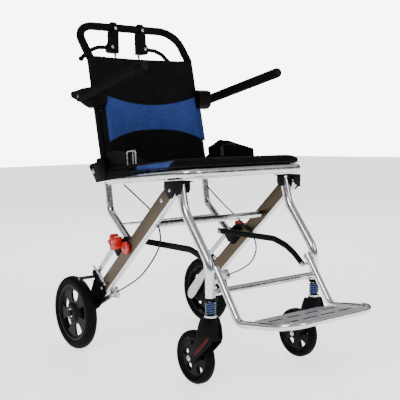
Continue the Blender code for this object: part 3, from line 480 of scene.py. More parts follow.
def rounded_box(half_w, half_h, radius, steps=4):
    points = []
    for quarter, (sx, sy) in enumerate(((1, 1), (-1, 1), (-1, -1), (1, -1))):
        for i in range(steps + 1):
            angle = math.pi / 2 * (quarter + i / steps)
            points.append((sx * (half_w - radius) + radius * math.cos(angle),
                           sy * (half_h - radius) + radius * math.sin(angle)))
    return points


def fillet(points, radii, step_angle=math.radians(5), closed=False):
    points = [Vector(p) for p in points]
    count = len(points)
    path = []
    for i, corner in enumerate(points):
        radius = radii[i]
        if not closed and i in (0, count - 1) or radius == 0:
            path.append(corner)
            continue
        before = (points[i - 1] - corner).normalized()
        after = (points[(i + 1) % count] - corner).normalized()
        opening = before.angle(after)
        turn = math.pi - opening
        reach = radius * math.tan(turn / 2)
        start = corner + before * reach
        centre = corner + (before + after).normalized() * (radius / math.sin(opening / 2))
        axis = (start - centre).cross(corner + after * reach - centre).normalized()
        steps = max(3, math.ceil(turn / step_angle))
        for k in range(steps + 1):
            turned = Matrix.Rotation(turn * k / steps, 3, axis) @ (start - centre)
            path.append(centre + turned)
    return path


def smooth_route(points, spacing):
    points = [Vector(p) for p in points]
    ends = [points[0] * 2 - points[1]] + points + [points[-1] * 2 - points[-2]]
    fine = []
    for i in range(1, len(ends) - 2):
        a, b, c, d = ends[i - 1:i + 3]
        for k in range(24):
            t = k / 24
            fine.append(0.5 * (2 * b + (c - a) * t + (2 * a - 5 * b + 4 * c - d) * t * t
                               + (3 * b - a - 3 * c + d) * t ** 3))
    fine.append(points[-1])
    total = sum((q - p).length for p, q in zip(fine, fine[1:]))
    count = max(4, round(total / spacing))
    route, walked, target = [fine[0]], 0.0, total / count
    for p, q in zip(fine, fine[1:]):
        step = (q - p).length
        while step and walked + step >= target - 1e-9 and len(route) < count:
            route.append(p.lerp(q, (target - walked) / step))
            target += total / count
        walked += step
    route.append(fine[-1])
    return route


def across(x, centre, sign=1.0):
    """Place function for turning about an axis that runs across the chair."""
    return lambda a, u, v: at(x + sign * a, (centre[0] + u, centre[1] + v))


def upright(x, y, z):
    """Place function for turning about a vertical axis."""
    return lambda a, u, v: at(x + u, (y + v, z + a))


def skin(bm, rings, loop=False):
    """Quads between closed rings of the same length."""
    for i in range(len(rings) if loop else len(rings) - 1):
        first, second = rings[i], rings[(i + 1) % len(rings)]
        for k in range(len(first)):
            j = (k + 1) % len(first)
            bm.faces.new((first[k], first[j], second[j], second[k]))


def skin_and_caps(bm, rings):
    skin(bm, rings)
    bm.faces.new(rings[0])
    bm.faces.new(rings[-1][::-1])


def divided(path, length, closed=False):
    """The same path with points added, about length apart."""
    fine = []
    for p, q in zip(path, path[1:] + path[:1] if closed else path[1:]):
        steps = max(1, int((q - p).length / length))
        fine += [p.lerp(q, k / steps) for k in range(steps)]
    return fine if closed else fine + [path[-1]]


def sweep_into(bm, path, section, up, closed=False, scale=None, cap=True):
    """Adds a swept section to bm. scale(i) widens each ring."""
    up = Vector(up).normalized()
    count = len(path)
    rings = []
    for i, point in enumerate(path):
        ahead = path[(i + 1) % count] if closed or i < count - 1 else point
        behind = path[i - 1] if closed or i > 0 else point
        tangent = (ahead - behind).normalized()
        side = tangent.cross(up)
        if side.length < 1e-4:
            side = tangent.cross(Vector((0, 1, 0)))
        side.normalize()
        lift = side.cross(tangent).normalized()
        grow = scale(i) if scale else 1.0
        rings.append([bm.verts.new(point + (side * a + lift * b) * grow) for a, b in section])
    if closed or not cap:
        skin(bm, rings, closed)
    else:
        skin_and_caps(bm, rings)
    return rings


def pin_into(bm, first, last, spot, radius, sides=16):
    """Round pin across the chair, between two distances from its middle."""
    sweep_into(bm, [at(first, spot), at(last, spot)], circle(radius, sides), (0, 0, 1))


def tube(name, path, radius, mat, body, replaces=(), sides=20, up=(1, 0, 0), slot=None):
    return made(name, mat, body, (sweep_into, path, circle(radius, sides), up),
                replaces=replaces, slot=slot)


def bevel_rims(bm, rims, offset, segments):
    bmesh.ops.bevel(bm, geom=rims, offset=offset, offset_type="OFFSET", segments=segments,
                    profile=0.5, affect="EDGES", clamp_overlap=True)


def prism_into(bm, outline, place, bevel=0.0, segments=2):
    """Extrudes an outline; place(u, v, w) gives the world point, w is 0 or 1."""
    loops = [[bm.verts.new(place(u, v, w)) for u, v in outline] for w in (0, 1)]
    rims = [edge for loop in loops for edge in bm.faces.new(loop).edges]
    skin(bm, loops)
    if bevel:
        bevel_rims(bm, rims, bevel, segments)


def slab_into(bm, outline, first, last, bevel=0.0, segments=2):
    """Outline in the side plane, between two distances across the chair."""
    prism_into(bm, outline, lambda u, v, w: at(first + (last - first) * w, (u, v)), bevel,
               segments)


def lathe_into(bm, profile, place, sides=40):
    """Turns a closed profile (a, radius); place(a, u, v) gives the world point."""
    skin(bm, [[bm.verts.new(place(a, u, v)) for u, v in circle(radius, sides)]
              for a, radius in profile], True)


def dome_into(bm, centre, normal, radius, height, sides=24, rings=4):
    """Rounded end of a rod."""
    side = normal.orthogonal().normalized()
    other = normal.cross(side)
    loops = []
    for r in range(rings):
        angle = math.pi / 2 * r / rings
        loops.append([bm.verts.new(centre + normal * height * math.sin(angle)
                                   + (side * u + other * v) * math.cos(angle))
                      for u, v in circle(radius, sides)])
    tip = bm.verts.new(centre + normal * height)
    skin(bm, loops)
    for k in range(sides):
        bm.faces.new((loops[-1][k], loops[-1][(k + 1) % sides], tip))
    bm.faces.new(loops[0])


def bolt(name, centre, normal, radius, height, body):
    """Button head with a washer and a socket."""
    normal = Vector(normal).normalized()
    side = normal.orthogonal().normalized()
    other = normal.cross(side)
    profile = [(height * a, radius * r) for a, r in (
        (0, 1.35), (0.25, 1.35), (0.3, 1), (0.75, 0.92), (1, 0.68), (1, 0.42), (0.55, 0.40))]
    made(name, "steel", body,
         (lathe_into, [(0, 0.0004)] + profile + [(height * 0.55, 0.0004)],
          lambda a, u, v: centre + normal * a + side * u + other * v, 24), smooth_angle=30)


# ---------------------------------------------------------------- the pieces
def seat_rail():
    half, depth = 0.189, 0.354
    corners = [at(x, on_seat(d, 0)) for x, d in ((-half, 0), (half, 0), (half, depth),
                                                 (-half, depth))]
    path = divided(fillet(corners, [0.040] * 4, closed=True), 0.02, True)
    up = at(0, on_seat(0, 1)) - at(0, on_seat(0, 0))
    made("seat_rail", "chrome", "seat",
         (sweep_into, path, rounded_box(0.011, 0.0115, 0.0095, 5), up, True),
         replaces="seat_frame", slot="polished_tube")


def swell(bm, name, cap, frames=20):
    """Inflates a closed mesh as cloth; no point moves further than cap."""
    mesh = bpy.data.meshes.new(name)
    bm.to_mesh(mesh)
    bm.free()
    obj = placed(bpy.data.objects.new(name, mesh))
    remesh = obj.modifiers.new("remesh", "REMESH")
    remesh.mode, remesh.voxel_size = "VOXEL", 0.005
    apply_modifiers(obj)
    rest = np.array([v.co for v in obj.data.vertices], float)
    cloth = obj.modifiers.new("cloth", "CLOTH")
    settings = cloth.settings
    settings.use_pressure = True
    settings.uniform_pressure_force = 4.0
    settings.effector_weights.gravity = 0.0
    settings.quality = 6
    settings.mass = 0.3
    settings.tension_stiffness = settings.compression_stiffness = 18
    settings.bending_stiffness = 0.6
    scene = bpy.context.scene
    cloth.point_cache.frame_start, cloth.point_cache.frame_end = 1, frames
    for number in range(1, frames + 1):
        scene.frame_set(number)
    graph = bpy.context.evaluated_depsgraph_get()
    swollen = bpy.data.meshes.new_from_object(obj.evaluated_get(graph))
    moved = np.array([v.co for v in swollen.vertices], float)
    obj.modifiers.clear()
    scene.frame_set(1)
    shift = moved - rest
    length = np.linalg.norm(shift, axis=1, keepdims=True)
    shift *= np.minimum(1.0, cap / np.maximum(length, 1e-9))
    moved = rest + shift
    for vertex, co in zip(obj.data.vertices, moved):
        vertex.co = co
    return obj


def pad_volume(half, rear, front, low, high, corner, bevel):
    """Closed pad in the seat's plane, its sides pulled in a little between the corners."""
    bm = bmesh.new()
    middle, length = (front + rear) / 2, (front - rear) / 2
    outline = rounded_box(half, length, corner, 6)
    pulled = []
    for i, (a, b) in enumerate(outline):
        c, d = outline[(i + 1) % len(outline)]
        steps = max(1, int(math.hypot(c - a, d - b) / 0.02))
        for k in range(steps):
            u, v = a + (c - a) * k / steps, b + (d - b) * k / steps
            pulled.append((u * (1 - 0.002 / half * math.cos(math.pi / 2 * v / length) ** 2),
                           v * (1 - 0.002 / length * math.cos(math.pi / 2 * u / half) ** 2)))
    layers = [[bm.verts.new(at(a, on_seat(middle + b, h))) for a, b in pulled]
              for h in (low, high)]
    rims = [edge for layer in layers for edge in bm.faces.new(layer).edges]
    skin(bm, layers)
    bevel_rims(bm, rims, bevel, 3)
    return bm


def swollen(bm, name, cap, mat):
    obj = swell(bm, name, cap)
    obj.data.materials.clear()
    obj.data.materials.append(M[mat])
    smooth = obj.modifiers.new("smooth", "SUBSURF")
    smooth.levels = smooth.render_levels = 1
    apply_modifiers(obj)
    obj.data.shade_smooth()
    return obj


def surface_of(obj):
    graph = bpy.context.evaluated_depsgraph_get()
    return BVHTree.FromObject(obj, graph)


def laid_on(tree, point, direction, lift):
    """The point moved along direction onto the surface, then lifted back a little."""
    direction = Vector(direction).normalized()
    hit = tree.ray_cast(point - direction * 0.05, direction, 0.12)[0]
    return (hit if hit is not None else point) - direction * lift


def sheet_piece(name, grid, thickness, mat, body):
    """Thin cloth patch from a grid of points."""
    bm = bmesh.new()
    rows = [[bm.verts.new(p) for p in row] for row in grid]
    for first, second in zip(rows, rows[1:]):
        for k in range(len(first) - 1):
            bm.faces.new((first[k], second[k], second[k + 1], first[k + 1]))
    obj = piece(name, bm, mat)
    solid = obj.modifiers.new("thick", "SOLIDIFY")
    solid.thickness, solid.offset = thickness, 0.0
    apply_modifiers(obj)
    settle(obj, body, (), "fabric")
    return obj


def piping(name, points, radius, body, up=(0, 1, 0.2), closed=False):
    made(name, "binding", body, (sweep_into, points, circle(radius, 8), up, closed),
         slot="fabric")


def stitches(name, points, body, up=(0, 1, 0.2)):
    """A row of short raised threads."""
    pitch, thread = 0.0040, circle(0.00045, 5)
    parts = []
    for p, q in zip(points, points[1:]):
        steps = max(1, int((q - p).length / pitch))
        parts += [(sweep_into, [p.lerp(q, k / steps), p.lerp(q, (k + 0.62) / steps)], thread, up)
                  for k in range(steps)]
    made(name, "webbing", body, *parts, slot="fabric")


def seat_pad():
    bm = pad_volume(0.1980, -0.004, 0.3610, TOP + 0.0008, TOP + 0.0195, 0.036, 0.0085)
    obj = swollen(bm, "seat_pad", 0.0055, "pad")
    middle, length = 0.1760, 0.1800
    channels = (-0.066, 0.066)
    c, s = math.cos(SEAT_TILT), math.sin(SEAT_TILT)
    for v in obj.data.vertices:
        y, z = v.co.y - AXLE_Y - SEAT_REAR[0], v.co.z - SEAT_REAR[1]
        forward, up = -y * c + z * s, y * s + z * c
        level = max(up, TOP + 0.0006)
        if up > TOP + 0.012:
            wide = min(1.0, abs(v.co.x) / 0.1950)
            along = min(1.0, abs(forward - middle) / length)
            level += 0.0030 * (1 - wide ** 2.4) * (1 - along ** 2.4) - 0.0012
            level += 0.0008 * noise.noise(Vector((v.co.x * 20, forward * 20, 0.3)))
            for line in channels:
                level -= 0.0020 * math.exp(-((v.co.x - line) / 0.0035) ** 2)
        y, z = on_seat(forward, level)
        v.co.y, v.co.z = y + AXLE_Y, z
    settle(obj, "seat", "seat_cushion", "fabric")
    tree = surface_of(obj)

    grid = []
    for i in range(31):
        k = i / 30
        row = []
        for j in range(9):
            t = j / 8
            d = 0.146 + 0.149 * k + t * (0.021 + 0.004 * k)
            h = (0.0150 + 0.0020 * k) * (1 - t) + (0.0320 + 0.0035 * k) * t
            row.append(laid_on(tree, at(-0.2000, on_seat(d, h)), (1, 0, -0.25), 0.0007))
        grid.append(row)
    sheet_piece("seat_patch", grid, 0.0010, "blue", "seat")
    edge = [row[0] for row in grid] + grid[-1][1:]
    edge += [row[-1] for row in reversed(grid[:-1])] + grid[0][-2:0:-1]
    piping("seat_patch_piping", edge, 0.0009, "seat", (1, 0, 0), True)

    rim = []
    for a, b in rounded_box(0.1970, length, 0.036, 10):
        inward = Vector((-a, at(0, on_seat(middle, 0)).y - at(0, on_seat(middle + b, 0)).y, 0))
        rim.append(laid_on(tree, at(a, on_seat(middle + b, TOP + 0.0050)), inward, 0.0002))
    piping("seat_piping", rim, 0.0015, "seat", (0, 0, 1), True)
    for number, x in enumerate(channels):
        line = [laid_on(tree, at(x, on_seat(0.014 + 0.325 * k / 40, TOP + 0.02)),
                        (0, 0, -1), 0.0003) for k in range(41)]
        stitches("seat_stitch_%d" % number, line, "seat", (0, 0, 1))


def seat_wrap():
    """The sling's sides turned over the rail, and its flap behind the pad."""
    for side, sign in SIDES:
        grid = []
        for i in range(25):
            k = i / 24
            d = -0.022 + 0.190 * k
            low = -0.0040 + 0.0140 * k ** 1.2
            row = []
            for j in range(9):
                t = j / 8
                bend = max(0.0, (t - 0.5) / 0.5)
                if t > 0.5:
                    x, h = 0.2008 - 0.0045 * bend ** 1.5, 0.0100 + 0.0110 * bend
                else:
                    x, h = 0.2012, low + (0.0100 - low) * t / 0.5
                row.append(at(sign * x, on_seat(d, h)))
            grid.append(row)
        wrap = sheet_piece("seat_wrap_" + side, grid, 0.0010, "fabric", "seat")
    grid = []
    for i in range(41):
        x = -0.1950 + 0.3900 * i / 40
        bow = 0.004 * noise.noise(Vector((x * 14, 0.4, 0.2)))
        grid.append([at(x, on_seat(-0.0120 + (bow - 0.0080) * j / 8, 0.0020 + 0.0380 * j / 8))
                     for j in range(9)])
    flap = sheet_piece("seat_flap", grid, 0.0012, "fabric", "seat")
    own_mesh(flap)


def sleeve_share(b):
    """0 where the cover lies in front of the tubes, 1 where it is drawn round them."""
    t = max(0.0, min(1.0, (b - 0.168) / 0.030))
    return t * t * (3 - 2 * t)


def back_depths(x, b):
    """Front and rear face of the cover at a point, measured forward of the tubes."""
    share = sleeve_share(b)
    wrap = math.sqrt(max(0.0, 1 - min(1.0, max(0.0, (abs(x) - 0.158) / 0.0205)) ** 2))
    hollow = -0.0105 * (1 - min(1.0, abs(x) / 0.160) ** 2.2)
    hollow += 0.0009 * noise.noise(Vector((x * 18, b * 22, 0.7)))
    over = 0.0165 * wrap + hollow * min(1.0, wrap * 1.2)
    behind = -0.0106 * wrap + 0.0060 * (1 - min(1.0, abs(x) / 0.156) ** 3) * wrap
    behind += hollow * 0.45 * wrap
    edge = max(0.0, 1 - (abs(x) / 0.1668) ** 14) ** 0.5
    before = 0.0150 + 0.0040 * edge + hollow
    under = -0.0040 + hollow * 0.45
    if abs(x) > 0.150:
        t = min(1.0, (abs(x) - 0.150) / 0.0045)
        under += (0.0070 - under) * t * t * (3 - 2 * t)
    return over * share + before * (1 - share), behind * share + under * (1 - share)


def back_upholstery():
    """Padded cover: a sleeve round both tubes above, set between them below."""
    bottom, top = 0.006, 0.3130
    bm = bmesh.new()
    cols, rows = 60, 60
    front, rear = [], []
    for j in range(rows + 1):
        b = bottom + (top - bottom) * j / rows
        half = 0.1665 + (0.1784 - 0.1665) * sleeve_share(b)
        front.append([])
        rear.append([])
        for i in range(cols + 1):
            x = (-1 + 2 * i / cols) * half
            near, far = back_depths(x, b)
            middle = (near + far) / 2
            near, far = max(near, middle + 0.0012), min(far, middle - 0.0012)
            front[-1].append(bm.verts.new(at(x, on_back(b, near))))
            rear[-1].append(bm.verts.new(at(x, on_back(b, far))))
    for layer in (front, rear):
        for j in range(rows):
            for i in range(cols):
                bm.faces.new((layer[j][i], layer[j][i + 1], layer[j + 1][i + 1],
                              layer[j + 1][i]))
    for j in range(rows):
        for i in (0, cols):
            bm.faces.new((front[j][i], front[j + 1][i], rear[j + 1][i], rear[j][i]))
    for j in (0, rows):
        for i in range(cols):
            bm.faces.new((front[j][i], rear[j][i], rear[j][i + 1], front[j][i + 1]))
    obj = swollen(bm, "back_upholstery", 0.0030, "fabric")
    settle(obj, "back", "back_fabric", "fabric")
    tree = surface_of(obj)
    inward = at(0, on_back(0, -1)) - at(0, on_back(0, 0))

    def on_cover(x, b, lift=0.0008):
        return laid_on(tree, at(x, on_back(b, 0.026)), inward, lift)

    lumbar_panel(on_cover)
    for number, (b, half) in enumerate(((0.0190, 0.160), (0.3050, 0.168))):
        stitches("back_stitch_%d" % number,
                 [on_cover(-half + 2 * half * i / 50, b, 0.0003) for i in range(51)], "back")
    for number, x in enumerate((-0.1630, 0.1630)):
        stitches("back_side_stitch_%d" % number,
                 [on_cover(x, 0.020 + 0.285 * i / 40, 0.0003) for i in range(41)], "back")


def lumbar_edges(x):
    """Lower and upper edge of the blue panel, up the back."""
    t = abs(x - 0.0050) / 0.1590
    return 0.1040 - 0.0350 * t ** 2.4, 0.1755 + 0.0270 * t ** 2.0


def lumbar_panel(on_cover):
    grid = []
    for i in range(61):
        x = -0.1540 + 0.3180 * i / 60
        low_edge, high_edge = lumbar_edges(x)
        grid.append([on_cover(x, low_edge + (high_edge - low_edge) * j / 20)
                     for j in range(21)])
    sheet_piece("lumbar_panel", grid, 0.0012, "blue", "back")
    for label, line in (("lower", [row[0] for row in grid]), ("upper", [row[-1] for row in grid]),
                        ("right", grid[0]), ("left", grid[-1])):
        piping("lumbar_piping_" + label, line, 0.0013, "back")


def bow_path():
    half = [at(-BACK_X, BACK_FOOT), at(-BACK_X, BACK_BEND), at(-0.1700, HANDLE_TOP)]
    mirrored = [Vector((-p.x, p.y, p.z)) for p in reversed(half)]
    return fillet(half + mirrored, [0, 0.050, 0.057, 0.057, 0.050, 0])


def back_tubes():
    paint("back_frame", "black_paint")
    covered = [p for p in bow_path() if p.z > BACK_BEND[1] + 0.012]
    ends = [at(math.copysign(BACK_X, covered[end].x), on_back(0.3060, 0)) for end in (0, -1)]
    fine = divided([ends[0]] + covered + [ends[1]], 0.006)

    def lumps(i):
        end = min(i, len(fine) - 1 - i)
        return (0.90 if end == 0 else 1.0) + 0.012 * noise.noise(Vector((i * 0.35, 0.2, 0.9)))

    sleeve = made("handle_sleeve", "foam", "back",
                  (sweep_into, fine, circle(0.0113, 24), (0, 1, 0.1), False, lumps),
                  replaces="handle_grip", slot="foam")


def hand_brakes():
    y, z = HANDLE_TOP
    outline = [(-0.0140, 0.8155), (-0.0142, 0.8790), (-0.0080, 0.8840), (0.0080, 0.8840),
               (0.0098, 0.8700), (0.0102, 0.8480), (0.0108, 0.8415), (0.0145, 0.8385),
               (0.0188, 0.8365), (0.0195, 0.8250), (0.0172, 0.8180), (0.0100, 0.8155)]
    clamp = ((-0.0072, 0.0116), (-0.0072, 0.0152), (-0.0058, 0.0166), (0.0058, 0.0166),
             (0.0072, 0.0152), (0.0072, 0.0116))
    adjuster = ((0, 0.0024), (0, 0.0045), (-0.004, 0.0045), (-0.0052, 0.0038), (-0.010, 0.0036),
                (-0.010, 0.0024))
    for side, sign in SIDES:
        x = sign * 0.048

        def place(u, v, w):
            return at(x + sign * u, (y - 0.0140 + 0.0260 * w, v))

        made("brake_body_" + side, "black_plastic", "back", (prism_into, outline, place, 0.0024, 3),
             (lathe_into, clamp, across(x - sign * 0.002, (y, z))),
             replaces="brake_housing_" + side, slot="black_plastic", smooth_angle=35)
        paint("brake_lever_" + side, "black_paint")
        bolt("brake_clamp_screw_" + side, at(x - sign * 0.002, (y - 0.0164, z - 0.003)),
             (0, -1, 0), 0.0034, 0.0018, "back")
        bolt("brake_pivot_screw_" + side, at(x + sign * 0.008, (y - 0.0138, 0.832)),
             (0, -1, 0), 0.0032, 0.0018, "back")
        made("brake_adjuster_" + side, "steel", "back",
             (lathe_into, adjuster, upright(sign * 0.040, y, 0.8158), 20))


def cables():
    y = HANDLE_TOP[0]
    for side, sign in SIDES:
        points = [(0.040, (y, 0.8145)), (0.040, (y - 0.003, 0.803)), (0.050, (y - 0.038, 0.786)),
                  (0.080, on_back(0.285, -0.013)), (0.115, on_back(0.22, -0.010)),
                  (0.138, on_back(0.12, -0.010)), (0.146, on_back(0.035, -0.010))]
        tube("upper_cable_%s_sheath" % side,
             smooth_route([at(sign * x, yz) for x, yz in points], 0.005), 0.0017, "cable",
             "back", "upper_cable_" + side, 12, slot="cable_sheath")
        x = sign * 0.1773
        points = [at(x, p) for p in CABLE_ROUTES[side]]
        points.append(at(sign * 0.1955, (-0.1395, 0.1640)))
        route = smooth_route(points, 0.005)
        tube("lower_cable_%s_sheath" % side, route, 0.0019, "cable", "rear_legs",
             "lower_cable_" + side, 12, slot="cable_sheath")
        tube("cable_ferrule_" + side, route[-5:], 0.0027, "steel", "rear_legs", (), 14)
        start, first = at(x, CABLE_STARTS[side]), points[0]
        lead = (points[0] - points[1]).normalized() * 0.012
        top = tube("lower_cable_%s_top" % side,
                   smooth_route([start, first.lerp(start, 0.35) + lead * 0.4, first, first - lead],
                                0.004), 0.0019, "cable", None, (), 12)
        tuple(start)
        tuple(first)
        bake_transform(top)


def armrests():
    pivot, tip = Vector(ARM_PIVOT), Vector((-0.349, 0.741))
    tail = pivot - (tip - pivot).normalized() * 0.020
    for side, sign in SIDES:
        start, end = at(sign * 0.216, tail), at(sign * 0.216, tip)
        thick = 0.0118 if side == "right" else 0.0134
        axis = (end - start).normalized()
        total = (end - start).length
        stations = [(0.0, 0.70), (0.0015, 0.90), (0.004, 1.0)]
        k = 0.010
        while k < total - 0.012:
            stations.append((k, 1.0 + 0.010 * noise.noise(Vector((k * 60, sign, 0.4)))))
            k += 0.010
        stations += [(total - back, s) for back, s in (
            (0.010, 1.0), (0.006, 0.96), (0.003, 0.85), (0.001, 0.66), (0.0, 0.40))]
        bm = bmesh.new()
        lift = Vector((1, 0, 0)).cross(axis)
        skin_and_caps(bm, [[bm.verts.new(start + axis * pos + Vector((u, 0, 0)) + lift * v)
                            for u, v in circle(thick * s, 28)] for pos, s in stations])
        body = "arm_" + side
        foam_piece = piece("armrest_foam_" + side, bm, "foam", body, "armrest_" + side, "foam")
        made("armrest_cap_" + side, "grey_plastic", body,
             (dome_into, end - axis * 0.0014, axis, 0.0102, 0.0026))
        paint("arm_bracket_" + side, "black_plastic")
        bolt("arm_bolt_" + side, at(sign * 0.2288, ARM_PIVOT), (sign, 0, 0), 0.0036, 0.0016,
             body)


def rear_leg(side, sign):
    """Flat extrusion: bronze sides, bright rounded edges, round head at the hip."""
    hub = at(sign * LEG_X, HIP)
    rise = Vector((0, math.sin(LEG_SLOPE), math.cos(LEG_SLOPE)))
    along = Vector((0, -math.cos(LEG_SLOPE), math.sin(LEG_SLOPE)))
    path = [at(sign * LEG_X, on_leg(0.435 * k / 24, 0)) for k in range(25)]
    bm = bmesh.new()
    rings = sweep_into(bm, path, rounded_box(LEG_HALF, 0.0088, 0.0055, 5), (1, 0, 0), cap=False)
    head = [v.co.copy() for v in rings[0]]
    for face in bm.faces:
        face.normal_update()
        face.material_index = 1 if abs(face.normal.x) > 0.93 else 0
    for ring, share in zip(rings[1:], [0.5] + [1.0] * len(rings)):
        for vert in ring:
            if (vert.co - hub).dot(rise) > 0:
                vert.co += rise * LEG_RISE * share
    first = rings[0]
    for k in range(1, 7):
        angle = math.pi / 2 * k / 6
        ring = []
        for p in head:
            perp = (p - hub).dot(rise)
            ring.append(bm.verts.new(hub + Vector((p.x - hub.x, 0, 0))
                                     + rise * perp * math.cos(angle)
                                     + along * abs(perp) * math.sin(angle)))
        for q in range(len(ring)):
            j = (q + 1) % len(ring)
            face = bm.faces.new((first[q], first[j], ring[j], ring[q]))
            face.normal_update()
            face.material_index = 1 if abs(face.normal.x) > 0.93 else 0
        first = ring
    bm.faces.new(rings[-1])
    bmesh.ops.remove_doubles(bm, verts=bm.verts, dist=0.00005)
    piece("rear_leg_tube_" + side, bm, ["chrome", "bronze"], "rear_legs", "rear_leg_" + side,
          "bronze_leg")


def rear_legs():
    drum_plate = ((-0.154, 0.1890), (-0.122, 0.1760), (-0.119, 0.1610), (-0.134, 0.1560),
                  (-0.163, 0.1580), (-0.168, 0.1680))
    foot_plate = ((-0.053, 0.2310), (-0.059, 0.2335), (-0.104, 0.2065), (-0.108, 0.1945),
                  (-0.098, 0.1925), (-0.060, 0.2190))
    for side, sign in SIDES:
        rear_leg(side, sign)
        made("leg_plug_" + side, "black_plastic", "rear_legs",
             (prism_into, rounded_box(0.0074, 0.0160 + LEG_RISE / 2, 0.0050, 4),
              lambda u, v, w: at(sign * LEG_X + u, on_leg(0.4346 + 0.0035 * w, v + LEG_RISE / 2)),
              0.0012))
        bolt("leg_rivet_" + side, at(sign * 0.1985, on_leg(0.046, 0.006)), (sign, 0, 0), 0.0038,
             0.0016, "rear_legs")
        made("foot_plates_" + side, "steel", "rear_legs",
             (slab_into, drum_plate, sign * 0.1872, sign * 0.1892, 0.0006),
             (slab_into, foot_plate, sign * 0.1988, sign * 0.2008, 0.0006), smooth_angle=35)
        for along in (395, 415):
            bolt("hub_bolt_%s_%d" % (side, along), at(sign * 0.2039, on_leg(along / 1000, 0.0)),
                 (sign, 0, 0), 0.0032, 0.0018, "rear_legs")


def front_legs():
    collar = ((0, 0.0078), (0, 0.0128), (0.0022, 0.0128), (0.0027, 0.0121), (0.0037, 0.0121),
              (0.0042, 0.0126), (0.0062, 0.0126), (0.0070, 0.0116), (0.0070, 0.0078))
    for side, sign in SIDES:
        x = sign * FRONT_X
        path = fillet([at(x, (-0.4136, 0.4612)), at(x, (-0.4275, 0.400)), at(x, (STEM_Y, 0.287)),
                       at(x, (STEM_Y, 0.2050))], [0, 0.100, 0.060, 0])
        tube("front_leg_tube_" + side, path, 0.0110, "chrome", "front_legs",
             "front_leg_" + side, 28, slot="polished_tube")
        for spot, reach, label in ((FOOTREST_PIVOT, 0.1372, "foot"),
                                   (LINK_FRONT, 0.1335, "link")):
            made("pin_%s_%s" % (label, side), "steel", "front_legs",
                 (pin_into, sign * reach, sign * 0.160, spot, 0.0040, 18))
            bolt("pin_head_%s_%s" % (label, side), at(sign * (reach + 0.0002), spot),
                 (-sign, 0, 0), 0.0042, 0.0018, "front_legs")
        made("stem_collar_" + side, "black_plastic", "front_legs",
             (lathe_into, collar, upright(x, STEM_Y, 0.2040), 32))


def footrest():
    x = 0.1475
    half = [at(-x, FOOTREST_PIVOT), at(-x, (-0.5905, 0.1605)), at(-x, (-0.736, 0.1783))]
    half[0] = half[0] + (half[0] - half[1]).normalized() * 0.0085
    mirrored = [Vector((-p.x, p.y, p.z)) for p in reversed(half)]
    path = fillet(half + mirrored, [0, 0.026, 0.058, 0.058, 0.026, 0])
    tube("footrest_hoop", path, 0.0085, "chrome", "footrest", "footrest_tube", 24, (0, 0.2, 1),
         "polished_tube")
    paint("footplate", "satin")
    footplate_slot_shade()


def struts():
    bend, rear = Vector(STRUT_BEND), Vector(LINK_REAR)
    foot = rear + (rear - bend).normalized() * 0.009
    parts = []
    for _, sign in SIDES:
        x = sign * STRUT_X
        path = fillet([at(x, STRUT_TOP), at(x, bend), at(x, foot)], [0, 0.030, 0])
        parts.append((sweep_into, path, circle(0.0095, 24), (1, 0, 0)))
    made("strut_pair", "chrome", "struts", *parts,
         (pin_into, -STRUT_X, STRUT_X, bend.lerp(rear, 0.44), 0.0038, 14),
         replaces="strut_frame", slot="polished_tube")


def footplate_slot_shade():
    """Dark blocks in the plate's slots: painted shade where the slots open."""
    rear, front = Vector((-0.596, 0.1612)), Vector((-0.7265, 0.1771))
    run = (front - rear).normalized()
    normal = Vector((run.y, -run.x))
    for row, along in enumerate((0.045, 0.095)):
        for number, x in enumerate((-0.085, -0.028, 0.028, 0.085)):
            # painted shade: a dark block fills each slot of the footplate
            made("slot_shade_%d_%d" % (row, number), "shadow", "footrest",
                 (prism_into, rounded_box(0.0206, 0.0044, 0.0030, 4),
                  lambda u, v, w: at(x + u, rear + run * (along + v)
                                     + normal * (-0.0022 + 0.0040 * w)), 0.0004))


def carriage(side, sign):
    """Sliding block above the leg, and the flat bar between its ears that guides it."""
    low = LEG_HALF + LEG_RISE + 0.0004
    block = ((0.232, low), (0.302, low), (0.302, 0.0440), (0.3010, 0.0465), (0.262, 0.0465),
             (0.250, 0.0400), (0.238, 0.0400))
    ear = ((0.302, 0.0440), (0.2955, 0.0625), (0.2850, 0.0625), (0.2790, 0.0440))
    cheek = ((0.240, 0.034), (0.240, 0.012), (0.248, 0.006), (0.288, 0.006), (0.296, 0.012),
             (0.298, 0.034))
    made("carriage_" + side, "black_plastic", "slide_block_" + side,
         *[(slab_into, [on_leg(a, b) for a, b in outline], sign * inner, sign * outer, 0.0010)
           for outline, inner, outer in ((block, 0.1770, 0.1985), (ear, 0.1770, 0.1870),
                                         (ear, 0.1920, 0.1985), (cheek, 0.1764, 0.1802))],
         replaces="slider_" + side, slot="black_plastic", smooth_angle=35)
    made("guide_bar_" + side, "steel", "rear_legs",
         (sweep_into, [at(sign * LEG_X, on_leg(a, 0.0541)) for a in (0.2790, 0.4150)],
          rounded_box(0.0071, 0.0020, 0.0012, 3), (1, 0, 0)),
         replaces="guide_rod_" + side, slot="polished_tube")


